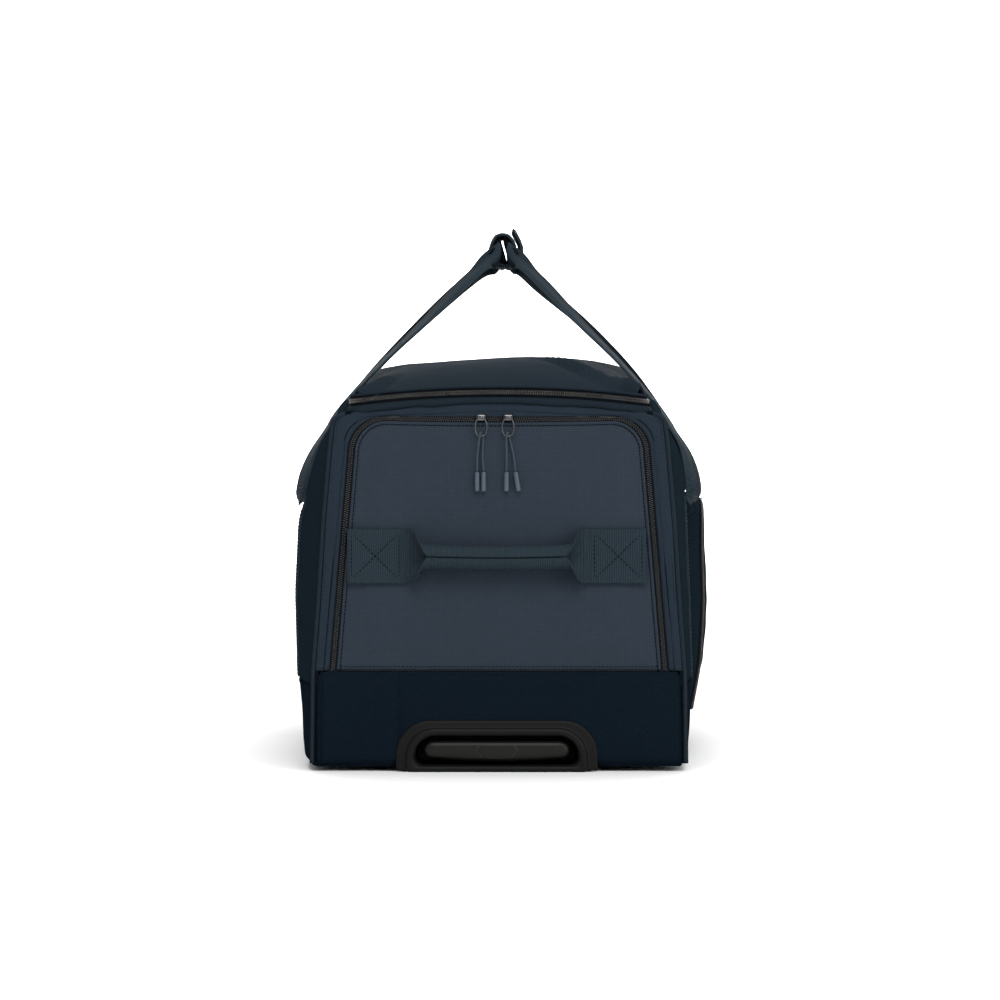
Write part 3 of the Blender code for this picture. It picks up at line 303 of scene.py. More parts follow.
def grid_mesh(name, grid, look, out=None, ring=False, tube=False, uv=None, smooth=True):
    """A mesh over rows of points. ring joins the last row to the first, tube the columns."""
    grid = np.asarray(grid, float)
    rows, cols = grid.shape[:2]
    flat = grid.reshape(-1, 3)
    across = np.linalg.norm(np.roll(grid, -1, 1) - grid, axis=2).mean(0)
    along = np.linalg.norm(np.roll(grid, -1, 0) - grid, axis=2).mean(1)
    u = np.concatenate(([0.0], np.cumsum(across)))
    v = np.concatenate(([0.0], np.cumsum(along)))
    faces, coords = [], []
    for i in range(rows if ring else rows - 1):
        for j in range(cols if tube else cols - 1):
            a, b = i * cols, (i + 1) % rows * cols
            k = (j + 1) % cols
            faces.append((a + j, a + k, b + k, b + j))
            if uv:
                coords.append([uv(flat[n]) for n in faces[-1]])
            else:
                coords.append([(u[j], v[i]), (u[j + 1], v[i]),
                               (u[j + 1], v[i + 1]), (u[j], v[i + 1])])
    if tube and not ring:
        for start in (0, (rows - 1) * cols):
            faces.append(tuple(start + j for j in range(cols)))
            coords.append([(u[j], 0.0) for j in range(cols)])
    if out is not None:
        a, b, d = grid[:-1, :-1], grid[:-1, 1:], grid[1:, :-1]
        way = out(a) if callable(out) else np.array(out, float)
        if (np.cross(b - a, d - a) * way).sum() < 0:
            faces = [f[::-1] for f in faces]
            coords = [c[::-1] for c in coords]
    return make(name, flat, faces, look, coords, smooth, solid=out is None)


def thicken(obj, thick, lining=None):
    """Give a sheet its thickness inwards, with another look on its inner side."""
    step = obj.modifiers.new("thick", "SOLIDIFY")
    step.thickness = thick
    step.offset = -1.0
    if lining:
        obj.data.materials.append(LOOK[lining])
        step.material_offset = 1


def wear(obj, body, slot, *nodes):
    """The piece rides on a body and stands for nodes, which it hides; the slot is not used."""
    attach(obj, body)
    if nodes:
        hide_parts(*nodes)
    return obj


def sheet(name, grid, look, out, body, slot, *nodes, thick=0.0, lining=None, uv=None):
    """A grid of points as a sheet of cloth or a shell, worn by a body."""
    obj = grid_mesh(name, grid, look, out=out, uv=uv)
    if thick:
        thicken(obj, thick, lining)
    return wear(obj, body, slot, *nodes)


def lattice(point, rows, columns):
    return [[point(row, column) for column in columns] for row in rows]


def tangents(points, closed=False):
    p = np.asarray(points, float)
    if closed:
        return unit(np.roll(p, -1, 0) - np.roll(p, 1, 0))
    return unit(np.gradient(p, axis=0))


def frames(points, normals, closed=False):
    """Unit side, along and out vectors at each point of a line."""
    along = tangents(points, closed)
    out = np.broadcast_to(np.asarray(normals, float), along.shape)
    out = unit(out - along * (along * out).sum(1)[:, None])
    return np.cross(along, out), along, out


def sweep(name, points, normals, profile, look, closed=False):
    """Carry a closed profile of (side, out) pairs along a line of points."""
    points = np.asarray(points, float)
    side, _, out = frames(points, normals, closed)
    grid = [[p + s * a + o * b for a, b in profile] for p, s, o in zip(points, side, out)]
    return grid_mesh(name, grid, look, ring=closed, tube=True)


def circle(radius, steps=10):
    return [(radius * cos(TAU * n / steps), radius * sin(TAU * n / steps))
            for n in range(steps)]


def band(half):
    """The profile of a tape of unit thickness, centred, with soft edges."""
    points = []
    for sign in (1, -1):
        points += [(sign * (half - 0.5 + 0.5 * cos(a)), sign * 0.5 * sin(a))
                   for a in map(radians, (-60, -20, 20, 60))]
        points += [(sign * half * share, sign * 0.5) for share in (0.5, 0.0, -0.5)]
    return points


def refine(points, times):
    """A smooth curve through the points, with that many steps between each two."""
    p = np.asarray(points, float)
    done = []
    for n in range(len(p) - 1):
        a, b, c, d = p[max(n - 1, 0)], p[n], p[n + 1], p[min(n + 2, len(p) - 1)]
        for k in range(times):
            t = k / times
            done.append(0.5 * (2 * b + (c - a) * t + (2 * a - 5 * b + 4 * c - d) * t * t
                               + (3 * b - 3 * c + d - a) * t ** 3))
    done.append(p[-1])
    return np.array(done)


def even(points, step, *others):
    """The line at even steps, and what goes with its points."""
    p = np.asarray(points, float)
    length = np.concatenate(([0.0], np.cumsum(np.linalg.norm(np.diff(p, axis=0), axis=1))))
    at = span(0.0, length[-1], max(2, int(round(length[-1] / step)) + 1))
    result = [np.stack([np.interp(at, length, column) for column in np.asarray(values).T], 1)
              for values in (p, *others)]
    return result if others else result[0]


BEAD = np.array([(a, r * cos(TAU * k / 6), r * sin(TAU * k / 6)) for a, r in
                 ((-1.0, 0.35), (-0.75, 0.85), (0.0, 1.0), (0.75, 0.85), (1.0, 0.35))
                 for k in range(6)])


def beads(name, points, side, along, out, size, look, turn=0.0):
    """Small rounded bars: size is half the length across, along and out at each point."""
    base = BEAD * np.array(size)
    c, s = cos(turn), sin(turn)
    base = np.stack([base[:, 0] * c - base[:, 1] * s, base[:, 0] * s + base[:, 1] * c,
                     base[:, 2]], axis=1)
    verts = (points[:, None, :] + side[:, None, :] * base[None, :, 0:1]
             + along[:, None, :] * base[None, :, 1:2] + out[:, None, :] * base[None, :, 2:3])
    quads = [(i * 6 + j, i * 6 + (j + 1) % 6, (i + 1) * 6 + (j + 1) % 6, (i + 1) * 6 + j)
             for i in range(4) for j in range(6)]
    quads += [tuple(range(6)), tuple(range(24, 30))]
    faces = [tuple(n * len(base) + v for v in q) for n in range(len(points)) for q in quads]
    return make(name, verts.reshape(-1, 3), faces, look, [[(0.0, 0.0)] * len(f) for f in faces])


TOOTH_STEP, TOOTH_SIZE, TOOTH_TURN = 0.00105, (0.00112, 0.00040, 0.00070), 0.42


def teeth(name, points, normals, row, look="teeth"):
    """One row of a zip's coil: row -1 or 1 is its side of the line."""
    points, normals = even(points, TOOTH_STEP, points * 0 + normals)
    start = 0 if row < 0 else 1
    points = points[start::2]
    side, along, out = frames(points, normals[start::2])
    return beads(name, points + side * row * TOOTH_STEP, side, along, out, TOOTH_SIZE, look,
                 turn=row * TOOTH_TURN)


def stitches(name, points, normals, length=0.0026, gap=0.0012, radius=0.00034):
    """A row of stitches along a line."""
    points, normals = even(points, length + gap, points * 0 + normals)
    side, along, out = frames(points, normals)
    return beads(name, points, along, side, out, (length / 2, radius, radius), "thread")


def join(name, objects):
    """Join objects of one look into one piece."""
    verts, faces, coords = [], [], []
    for obj in objects:
        layer = obj.data.uv_layers["weave"].data
        base = len(verts)
        verts += [tuple(v.co) for v in obj.data.vertices]
        for poly in obj.data.polygons:
            faces.append(tuple(base + v for v in poly.vertices))
            coords.append([tuple(layer[k].uv) for k in poly.loop_indices])
    worn = objects[0].data.materials[0]
    look = next(key for key, value in LOOK.items() if value == worn)
    for obj in objects:
        bpy.data.objects.remove(obj, do_unlink=True)
    return make(name, verts, faces, look, coords)


def arch(low, high, base, top, radius, offset, counts, dip=0.0):
    """An upside-down U as (across, z) pairs, moved outwards by the offset."""
    turn, flat, r = top - radius, high - radius, radius + offset
    lean = (low - high) / (turn - base)
    left = [(-(low - lean * (z - base)) - offset, z) for z in span(base, turn, counts[0])[:-1]]
    left += [(-flat - r * cos(a), turn + r * sin(a)) for a in span(0, pi / 2, counts[1])]
    middle = [(x, top + offset - dip * (1 - (x / flat) ** 2))
              for x in span(-flat, flat, counts[2])[1:-1]]
    return left + middle + [(-x, z) for x, z in reversed(left)]


def rising_edge(line, flat):
    """The left leg and corner of an arch."""
    return [p for p in line[:len(line) // 2] if p[0] < -flat + 0.0005]


def crowded(count, power):
    """Shares from 0 to 1 that lie closer together at both ends."""
    return [0.5 + 0.5 * copysign(1 - (1 - abs(s)) ** power, s) for s in span(-1, 1, count)]


# ---- the soft body's surface ------------------------------------------------------

def eased(z, xs, ys):
    """The table's value, with its corners eased."""
    at = np.clip(z + span(-0.008, 0.008, 7), xs[0], xs[-1])
    return float(np.interp(at, xs, ys).mean())


def half_width(z):
    return float(np.interp(z, *WIDTH_AT)) if z > 0.300 else eased(z, *WIDTH_AT)


def side_x(y, z, side):
    full = FULL_RIGHT if side > 0 else FULL_LEFT
    swell = eased(z, FULL_Z, full) if z < 0.3281 else 0.001
    power = float(np.interp(z, (0.03, 0.05, 0.10), (9.0, 7.0, 4.0)))
    puff = eased(z, *PUFF) * bell(abs(y) - 0.258, 0.032) if side < 0 else 0.0
    return half_width(z) + swell * (1 - abs(y / LENGTH_HALF) ** power) + puff


def rim_z(x):
    return RIM_TOP_Z - RIM_DROP * min(1.0, (x / 0.14) ** 2)


def lip_low(x):
    """The rain lip's lower edge, which the front border runs up behind."""
    return rim_z(x) + 0.0044 * max(0.0, 1 - (x / 0.132) ** 2)


def lip_drop(x):
    """The lid's zip hangs lower towards the corners than the frame behind it."""
    return 0.0008 - 0.0034 * min(1.0, abs(x / RIM_HALF)) ** 2.4


def tub_columns():
    """Places around the tub: (kind, side or end, share or place)."""
    columns = []
    for end in (-1, 1):
        columns += [("end", end, -end * t) for t in span(-1, 1, 71)]
        columns += [("corner", -end, end, turn) for turn in (10, 30, 50, 70)]
        columns += [("side", -end, y) for y in span(end * 0.328, -end * 0.328, 81)]
        columns += [("corner", -end, -end, turn) for turn in (70, 50, 30, 10)]
    return columns + columns[:1]


def tub_point(column, z):
    r = 0.006
    wide = half_width(z)
    if column[0] == "end":
        bulge = 0.0012 * sin(pi * min(1.0, z / SEAM_END_Z)) * (1 - column[2] ** 6)
        return column[2] * (wide - r), column[1] * (LENGTH_HALF + bulge), (0, column[1])
    if column[0] == "corner":
        _, side, end, turn = column
        out = (side * sin(radians(turn)), end * cos(radians(turn)))
        return side * (wide - r) + r * out[0], end * (LENGTH_HALF - r) + r * out[1], out
    _, side, y = column
    return side * side_x(y, z, side), y, (side, 0)


def tub_top(column):
    share = {"end": 1, "side": 0}.get(column[0], 1 - column[-1] / 90)
    return SEAM_SIDE_Z + (SEAM_END_Z - SEAM_SIDE_Z) * share


def tub_foot(column):
    """Where the tub's wall starts: on the floor, over the handle or over a wheel."""
    x, y, _ = tub_point(column, 0.04)
    if y > 0.271 and abs(x) > 0.125:
        return 0.0785
    if column[0] == "end" and column[1] < 0:
        reach = abs(x - TROLLEY_X)
        if reach < 0.063:
            return 0.0440
        if reach < 0.0893:
            return 0.0180 + sqrt(max(0.0, 0.026 ** 2 - (reach - 0.063) ** 2))
    return FLOOR_Z


def tub():
    def point(share, column):
        foot, top = tub_foot(column), tub_top(column)
        share = 0.5 - 0.5 * cos(pi * share) if foot < 0.07 else share
        z = foot + (top - foot) * share
        x, y, out = tub_point(column, z)
        drop = top - z
        push = 0.0007 * bell(drop - 0.0016, 0.0012) - 0.0012 * bell(drop, 0.0005)
        if foot <= FLOOR_Z:
            push -= 0.0045 * max(0.0, 1 - (z - FLOOR_Z) / 0.0065) ** 2
        calm = min(1.0, drop / 0.02) * min(1.0, (z - foot) / 0.02)
        depth = 0.0016 if column[0] == "side" else 0.0008
        push += depth * calm * rumple(x, y, z * 1.4, 0.085, 3.1)
        return x + out[0] * push, y + out[1] * push, z

    sheet("base_cloth", lattice(point, span(0, 1, 37), tub_columns()), "twill", outwards,
          "bag", "twill", "base_tub", thick=0.0024, lining="lining")

    def reach(x, y):
        """Takes the underside out to the foot of the tub's side wall."""
        if abs(x) < 0.160:
            return x
        side = -1 if x < 0 else 1
        return side * (side_x(clamp(y, -0.328, 0.328), FLOOR_Z, side) - 0.0045)

    parts = []
    for x0, y0, x1, y1 in mm((-166.5, -330, -91, -274), (87, -330, 166.5, -274),
                             (-166.5, -274, 166.5, 270.5), (-124.5, 270.5, 124.5, 330)):
        rows = [[(x, y, FLOOR_Z + 0.0003 * rumple(x, y, 0, 0.05, 1.0)) for x in
                 span(reach(x0, y), reach(x1, y), 2 + int((x1 - x0) / 0.012))]
                for y in span(y0, y1, 2 + int((y1 - y0) / 0.012))]
        parts.append(grid_mesh("under", rows, "twill", out=(0, 0, -1), uv=xy))
    under = join("base_underside", parts)
    thicken(under, 0.0016)
    wear(under, "bag", "twill")
    wells, ys, zs = [], (0.2694, 0.3000, 0.3325), (FLOOR_Z, 0.0400, 0.0802)
    for side, _ in SIDES:
        xs = side * span(0.1236, side_x(0.30, 0.0800, side) - 0.0030, 4)
        for grid, out in ((lattice(lambda y, z: (xs[0], y, z), ys, zs), (-side, 0, 0)),
                          (lattice(lambda x, z: (x, ys[0], z), xs, zs), FRONT),
                          (lattice(lambda y, x: (x, y, zs[-1]), ys, xs), UP)):
            wells.append(grid_mesh("well", grid, "lining", out=out))
    lining = join("base_wheel_lining", wells)
    thicken(lining, 0.0008)
    wear(lining, "bag", "lining")


def side_panels():
    for side, word in SIDES:
        grid = []
        for y in span(-0.3342, 0.3342, 121):
            full = 1 - abs(y / 0.3342) ** 6
            tuck = bell(abs(y) - 0.262, 0.040)
            line = [(side_x(y, z, side), z) for z in span(0.0793, 0.3230, 58)]
            top = [line[-1], (side_x(y, 0.3280, side), 0.3280)]
            top += [(x + out * tuck, z + rise * full + pull * tuck) for x, out, z, rise, pull in
                    mm((150.6, 1.4, 328.8, 4.2, 3.4), (148.2, 1.4, 329.7, 7.4, 4.6),
                       (144.0, 1.2, 330.5, 8.2, 8.0), (140.0, 0.0, 330.2, 5.0, 9.0))]
            row = []
            for x, z in line + list(refine(top, 4)[1:]):
                edge = min(1.0, (LENGTH_HALF - abs(y)) / 0.03, (z - 0.079) / 0.02,
                           max(0.0, 0.326 - z) / 0.02)
                push = 0.0018 * edge * rumple(x, y, z * 0.8, 0.10, 5.0 + side)
                push += 0.0010 * edge * rumple(x, y * 0.6, z * 1.6, 0.040, 9.0)
                seam = 0.231 + 0.013 * min(1.0, (LENGTH_HALF - abs(y)) / 0.145)
                if abs(y) > 0.17:
                    push += (0.0007 * bell(z - seam + 0.0035, 0.0022)
                             - 0.0014 * bell(z - seam, 0.0011))
                push -= 0.0016 * bell(z - 0.0793, 0.0012)
                push -= 0.0006 * edge * (bell(y - ANCHOR_Y, 0.022) + bell(y + ANCHOR_Y, 0.022))
                row.append((side * (x + push), y, z))
            grid.append(row)
        sheet(word + "_side_cloth", grid, "side", (side, 0, 0), "bag", "twill",
              word + "_side_panel", thick=0.0036, lining="lining", uv=yz)


def piping():
    """Piped seams at the corners between the side and end panels, with painted shade beside them.
    """
    proud, ribbon_edge = 0.0014, mm((-0.6, -4), (0.6, -4), (0.6, 0), (-0.6, 0))
    points = [(half_width(z) + proud, z) for z in span(0.0075, 0.312, 60)]
    points += [(x + proud * 0.8, z) for x, z in
               mm((153.7, 319), (152.6, 324.5), (150, 328.5), (146, 330.8), (141.5, 331.8))]
    for side, word in SIDES:
        for end, place in ENDS:
            line = np.array([(side * x, end * (LENGTH_HALF - 0.0012), z) for x, z in points])
            if end > 0:
                line = line[line[:, 2] > 0.0795]
            line = even(line, 0.0035)
            pieces = [sweep("s", line, (side, end, 0), profile, "binding")
                      for profile in (circle(0.0019, 12), ribbon_edge)]
            wear(join(f"{place}_{word}_piping", pieces), "bag", "twill")
            # near-black cords on both sides of each piping roll: painted shade of the grooves
            # beside it
            painted_shade_cords = [sweep("s", line + np.array((side * a, end * b, 0.0)), (0, end, 0),
                           circle(0.0007, 6), "tape") for a, b in mm((-2.3, 0.9), (1.7, -1.0))]
            wear(join(f"{place}_{word}_piping_painted_shade", painted_shade_cords), "bag", "twill")
            inner = line + np.array((-side * 0.0046, end * 0.0015, 0.0))
            wear(stitches(f"{place}_{word}_seam_stitches", inner, (0, end, 0)), "bag", "twill")


# ---- the front pocket and its zip -------------------------------------------------

def squeeze(z):
    """How much nearer the sewn edges lie to the zip's teeth, rising towards its top."""
    return HEM_TOP * clamp((z - ZIP_TURN_Z) / ZIP_RADIUS) ** 2


def zip_line(offset):
    """The front zip's line, moved outwards by the offset, as (x, z) pairs."""
    line = arch(ZIP_LOW, ZIP_HIGH, ZIP_BASE_Z, ZIP_TOP_Z, ZIP_RADIUS, offset, (60, 19, 61),
                ZIP_DIP)
    if abs(offset) < 0.0030:
        return line
    return [(x, z - copysign(squeeze(z), offset)) for x, z in line]


def inside(x, z):
    """Distance from the front zip's line, inwards."""
    x = abs(x)
    if x > ZIP_FLAT and z > ZIP_TURN_Z:
        return ZIP_RADIUS - hypot(x - ZIP_FLAT, z - ZIP_TURN_Z) + squeeze(z)
    leg = ZIP_LOW - (ZIP_LOW - ZIP_HIGH) * (z - ZIP_BASE_Z) / (ZIP_TURN_Z - ZIP_BASE_Z) - x
    top = ZIP_TOP_Z - ZIP_DIP * max(0.0, 1 - (x / ZIP_FLAT) ** 2) - z
    return min(leg, top) + squeeze(z)


def hem(d, groove):
    """How far a folded, sewn edge stands out, at a distance from the zip's line."""
    if d < HEM:
        return 0.0
    lift = 0.0010 * min(1.0, (d - HEM) / 0.0009) ** 0.5 * clamp((groove - d) / 0.0010)
    return lift - 0.0007 * bell(d - groove, 0.0006)


def front_border():
    outer = [(-half_width(z), z) for z in span(SEAM_END_Z + 0.0004, 0.318, 60)[:-1]]
    outer += [tuple(p) for p in refine(mm((-153.7, 318), (-153, 324.5), (-150, 329),
                                          (-145, 330.7), (-138.5, 331.2)), 5)[:19]]
    top = [(x, max(lip_low(x) + 0.0012, ZIP_TOP_Z + HEM + 0.0018))
           for x in span(-0.1400, 0.1400, 61)[1:-1]]
    outer += top + [(-x, z) for x, z in reversed(outer)]
    grid = []
    for (xa, za), (xb, zb) in zip(zip_line(HEM), outer):
        row = []
        wide = hypot(xb - xa, zb - za)
        for t in span(0, 1, 25) ** 1.5:
            x, z = xa + (xb - xa) * t, za + (zb - za) * t
            out = hem(HEM + wide * t, 0.0084) + 0.0010 * sin(pi * t) * min(1.0, wide / 0.01)
            out += 0.0005 * rumple(x, 0, z, 0.05, 2.0) * min(1.0, wide * (1 - t) / 0.006)
            row.append((x, -LENGTH_HALF - out, z))
        grid.append(row)
    sheet("front_border_cloth", grid, "border", FRONT, "bag", "ripstop", "front_border",
          thick=0.0022, lining="lining", uv=xz)
    # near-black cords in the fold's groove along both legs of the zip: painted shade of that
    # groove
    line = np.array([(x, -LENGTH_HALF - 0.0001, z) for x, z in zip_line(0.0084) if z < 0.3305])
    painted_shade_cords = [sweep("s", even(half, 0.004), FRONT, circle(0.00060, 6), "tape")
             for half in (line[line[:, 0] < 0], line[line[:, 0] > 0])]
    wear(join("front_border_fold_painted_shade", painted_shade_cords), "bag", "ripstop")


def flap_y(x, z):
    """How far out the pocket's flap stands at a point."""
    d = inside(x, z)
    calm = min(1.0, max(0.0, d - HEM) / 0.03, (z - ZIP_BASE_Z) / 0.02)
    crown = 0.0020 + 0.0009 * rumple(x, 0.3, z, 0.075, 4.0)
    crown += 0.0004 * rumple(x, 0.1, z * 0.7, 0.022, 6.0)
    return -LENGTH_HALF - hem(d, 0.0066) - crown * calm


def flap():
    def point(edge, t):
        x = edge[0] * (1 - 2 * t)
        height = max(0.0, (edge[1] - ZIP_BASE_Z) / (ZIP_TOP_Z - HEM - ZIP_BASE_Z))
        z = edge[1] - ZIP_DIP * max(0.0, 1 - (x / ZIP_FLAT) ** 2) * height ** 8
        return x, flap_y(x, z), z

    grid = lattice(point, rising_edge(zip_line(-HEM), ZIP_FLAT), crowded(131, 1.6))
    sheet("pocket_flap_cloth", grid, "ripstop", FRONT, "pocket_flap", "ripstop",
          "front_pocket_flap", thick=0.0020, lining="lining", uv=xz)
    line = np.array([(x, flap_y(x, z) - 0.0006, z) for x, z in zip_line(-0.0066)])
    wear(stitches("pocket_flap_stitches", even(line, 0.004), FRONT, 0.0030, 0.0007, 0.00055),
         "pocket_flap", "ripstop")
    foot = np.array([(x, flap_y(x, 0.0975) - 0.0002, 0.0975) for x in span(-0.146, 0.146, 80)])
    wear(stitches("pocket_foot_stitches", foot, FRONT), "pocket_flap", "ripstop")


def front_zip():
    y = -LENGTH_HALF + 0.0008
    for row, body, word in ((1, "bag", "outer"), (-1, "pocket_flap", "inner")):
        def rows(far, shares, arched, tail=False):
            lines = [zip_line(row * 0.0001), zip_line(row * far)]
            if tail:
                lines = [[(line[0][0], SEAM_END_Z - 0.0012)] + line
                         + [(line[-1][0], SEAM_END_Z - 0.0012)] for line in lines]
            return [[(xa + (xb - xa) * t, y - arched(t), za + (zb - za) * t) for t in shares]
                    for (xa, za), (xb, zb) in zip(*lines)]

        tape = rows(0.0052, (0.0, 0.15, 0.4, 0.7, 1.0), lambda t: 0.0003 * sin(pi * t), True)
        sheet(f"front_zip_tape_{word}", tape, "selvage", FRONT, body, "zip",
              "front_zip_" + word, thick=0.0010)
        sheet(f"front_zip_coil_bed_{word}", rows(0.0027, (0.0, 0.5, 1.0), lambda t: 0.00045),
              "tape", FRONT, body, "zip")
        line = np.array([(x, y - 0.0006, z) for x, z in zip_line(0.0)])
        wear(teeth(f"front_zip_teeth_{word}", line, np.array(FRONT), -row), body, "zip")


def pocket_lining():
    def point(z, u):
        x = (half_width(z) - 0.0060) * u
        deep = clamp((0.94 - abs(u)) / 0.08)
        deep *= min(1.0, max(0.0, (0.3180 - z) / 0.012), max(0.0, (z - 0.098) / 0.012))
        return x, -LENGTH_HALF + 0.0042 + 0.009 * deep + 0.0004 * rumple(x, 0, z, 0.03), z

    half = (1.0, 0.94, 0.91, 0.88, 0.84, 0.6, 0.3)
    grid = lattice(point, mm(92.2, 98, 106, 120, 170, 230, 280, 300, 309, 316, 321.5),
                   [-u for u in half] + [0.0] + list(half[::-1]))
    obj = sheet("pocket_lining_cloth", grid, "lining", FRONT, "bag", "lining",
                "front_pocket_lining", thick=0.0014, uv=xz)
    obj.modifiers.new("smooth", "SUBSURF").render_levels = 1


def rear_panel():
    def point(t, u):
        low = SEAM_END_Z + 0.0004
        z = low + (rim_z(0.142 * u) - 0.0004 - low) * t
        wide = half_width(z) if z < 0.318 else float(np.interp(
            z, *mm((318, 324.5, 329, 332), (153.7, 153, 150, 143))))
        x = wide * u
        calm = min(1.0, (1 - abs(u)) * 6, t * 8, (1 - t) * 8)
        out = 0.0022 * calm + 0.0012 * calm * rumple(x, 1.0, z, 0.07, 8.0)
        out += 0.0005 * bell(abs(x) - wide + 0.008, 0.004)
        return x, LENGTH_HALF + out, z

    sheet("rear_panel_cloth", lattice(point, span(0, 1, 61), span(1, -1, 101)), "ripstop",
          (0, 1, 0), "bag", "ripstop", "rear_panel", thick=0.0022, lining="lining", uv=xz)


# ---- the rim, its zip and the lid -------------------------------------------------

def rim_line(closed):
    """Plan of the top opening: points on the rain lip's line, and the way out."""
    length, rear = 0.3335, 0.3300
    ix, iy = RIM_HALF - RIM_CORNER, length - RIM_CORNER
    end = iy if closed else rear
    points, ways = [], []

    def put(x, y, out):
        points.append((x, y, rim_z(x)))
        ways.append((*out, 0.0))

    def arc(cx, cy, start):
        for n in range(10):
            a = radians(start + 10 * n)
            put(cx + RIM_CORNER * cos(a), cy + RIM_CORNER * sin(a), (cos(a), sin(a)))

    for y in span(end, -iy, 120)[:-1]:
        put(-RIM_HALF, y, (-1, 0))
    arc(-ix, -iy, 180)
    for x in span(-ix, ix, 60)[1:-1]:
        put(x, -length, (0, -1))
    arc(ix, -iy, 270)
    for y in span(-iy, end, 120)[1:]:
        put(RIM_HALF, y, (1, 0))
    if closed:
        arc(ix, iy, 0)
        for x in span(ix, -ix, 60)[1:-1]:
            put(x, length, (0, 1))
        arc(-ix, iy, 90)
        del points[-1], ways[-1]
    return np.array(points), np.array(ways)


def lid_rim_line(closed):
    """The same line at the level of the lid's zip."""
    points, ways = rim_line(closed)
    points[:, 2] += [lip_drop(x) for x in points[:, 0]]
    return points, ways


def rain_lip():
    def wave(p):
        return (0.0016 * rumple(p[0], p[1], 0, 0.034, 2.0)
                + 0.0007 * rumple(p[0], p[1], 0, 0.014, 7.0))

    points, ways = rim_line(True)
    high = 0.0095
    profile = mm((-1.6, 0.4), (0.8, 0), (2.8, 0.6), (4.2, 2.2), (4.7, 4.6), (4.0, 7.0),
                 (2.6, 8.8), (1.0, 9.5), (-1.4, 9.5))
    grid = []
    for p, way in zip(points, ways):
        drop = wave(p) - 0.0006 + (lip_low(p[0]) - rim_z(p[0])) * (p[1] < 0)
        swell = 1.04 + 0.24 * rumple(p[0], p[1], 0, 0.026, 4.0)
        grid.append([p + way * out * swell
                     + UP * (up + drop * (1 - up / high) + lip_drop(p[0]) * up / high)
                     for out, up in profile])
    wear(grid_mesh("rain_lip_roll", grid, "lid", ring=True, tube=True), "bag", "lid_fabric",
         "rain_lip")
    # a near-black cord along the lip's lower front edge, on the border: the painted shadow under
    # the lip
    edge = np.array([(p[0], p[1] - 0.0016, lip_low(p[0]) - 0.0002 + wave(p))
                     for p in points if p[1] < -0.3334])
    edge = edge[np.argsort(edge[:, 0])]
    wear(sweep("rain_lip_painted_shadow", edge, FRONT, circle(0.0008, 8), "tape"), "bag", "lid_fabric")


def lid_zip():
    points, ways = lid_rim_line(False)
    for row, body, low, high, rear, node in (
            (-1, "bag", 0.0070, 0.0139, 0.3295, "lid_zip_lower"),
            (1, "lid_panel", 0.0141, 0.0182, 0.3235, "lid_zip_upper")):
        grid = [[p + UP * h + way * (0.0004 + 0.0006 * sin(pi * (h - low) / (high - low)))
                 for h in (low, (low + high) / 2, high)]
                for p, way in zip(points, ways) if row < 0 or p[1] <= 0.3240]
        sheet(node + "_tape", grid, "tape", outwards, body, "zip", node, thick=0.0010)
        keep = points[:, 1] < rear
        line, out = even(points[keep] + UP * 0.0140 + ways[keep] * 0.0016, 0.002, ways[keep])
        wear(teeth(node + "_teeth", line, out, row, look="coil"), body, "zip")
    grid = [[(x, 0.3342 + dy, rim_z(x) + h) for h, dy in
             mm((9.2, -0.6), (11.5, 0.4), (14, 0.7), (16.5, 0.4), (18.6, -0.6))]
            for x in span(-0.1222, 0.1222, 41)]
    sheet("lid_hinge_cloth", grid, "lid", (0, 1, 0), "bag", "lid_fabric", "lid_hinge_strip",
          thick=0.0014)


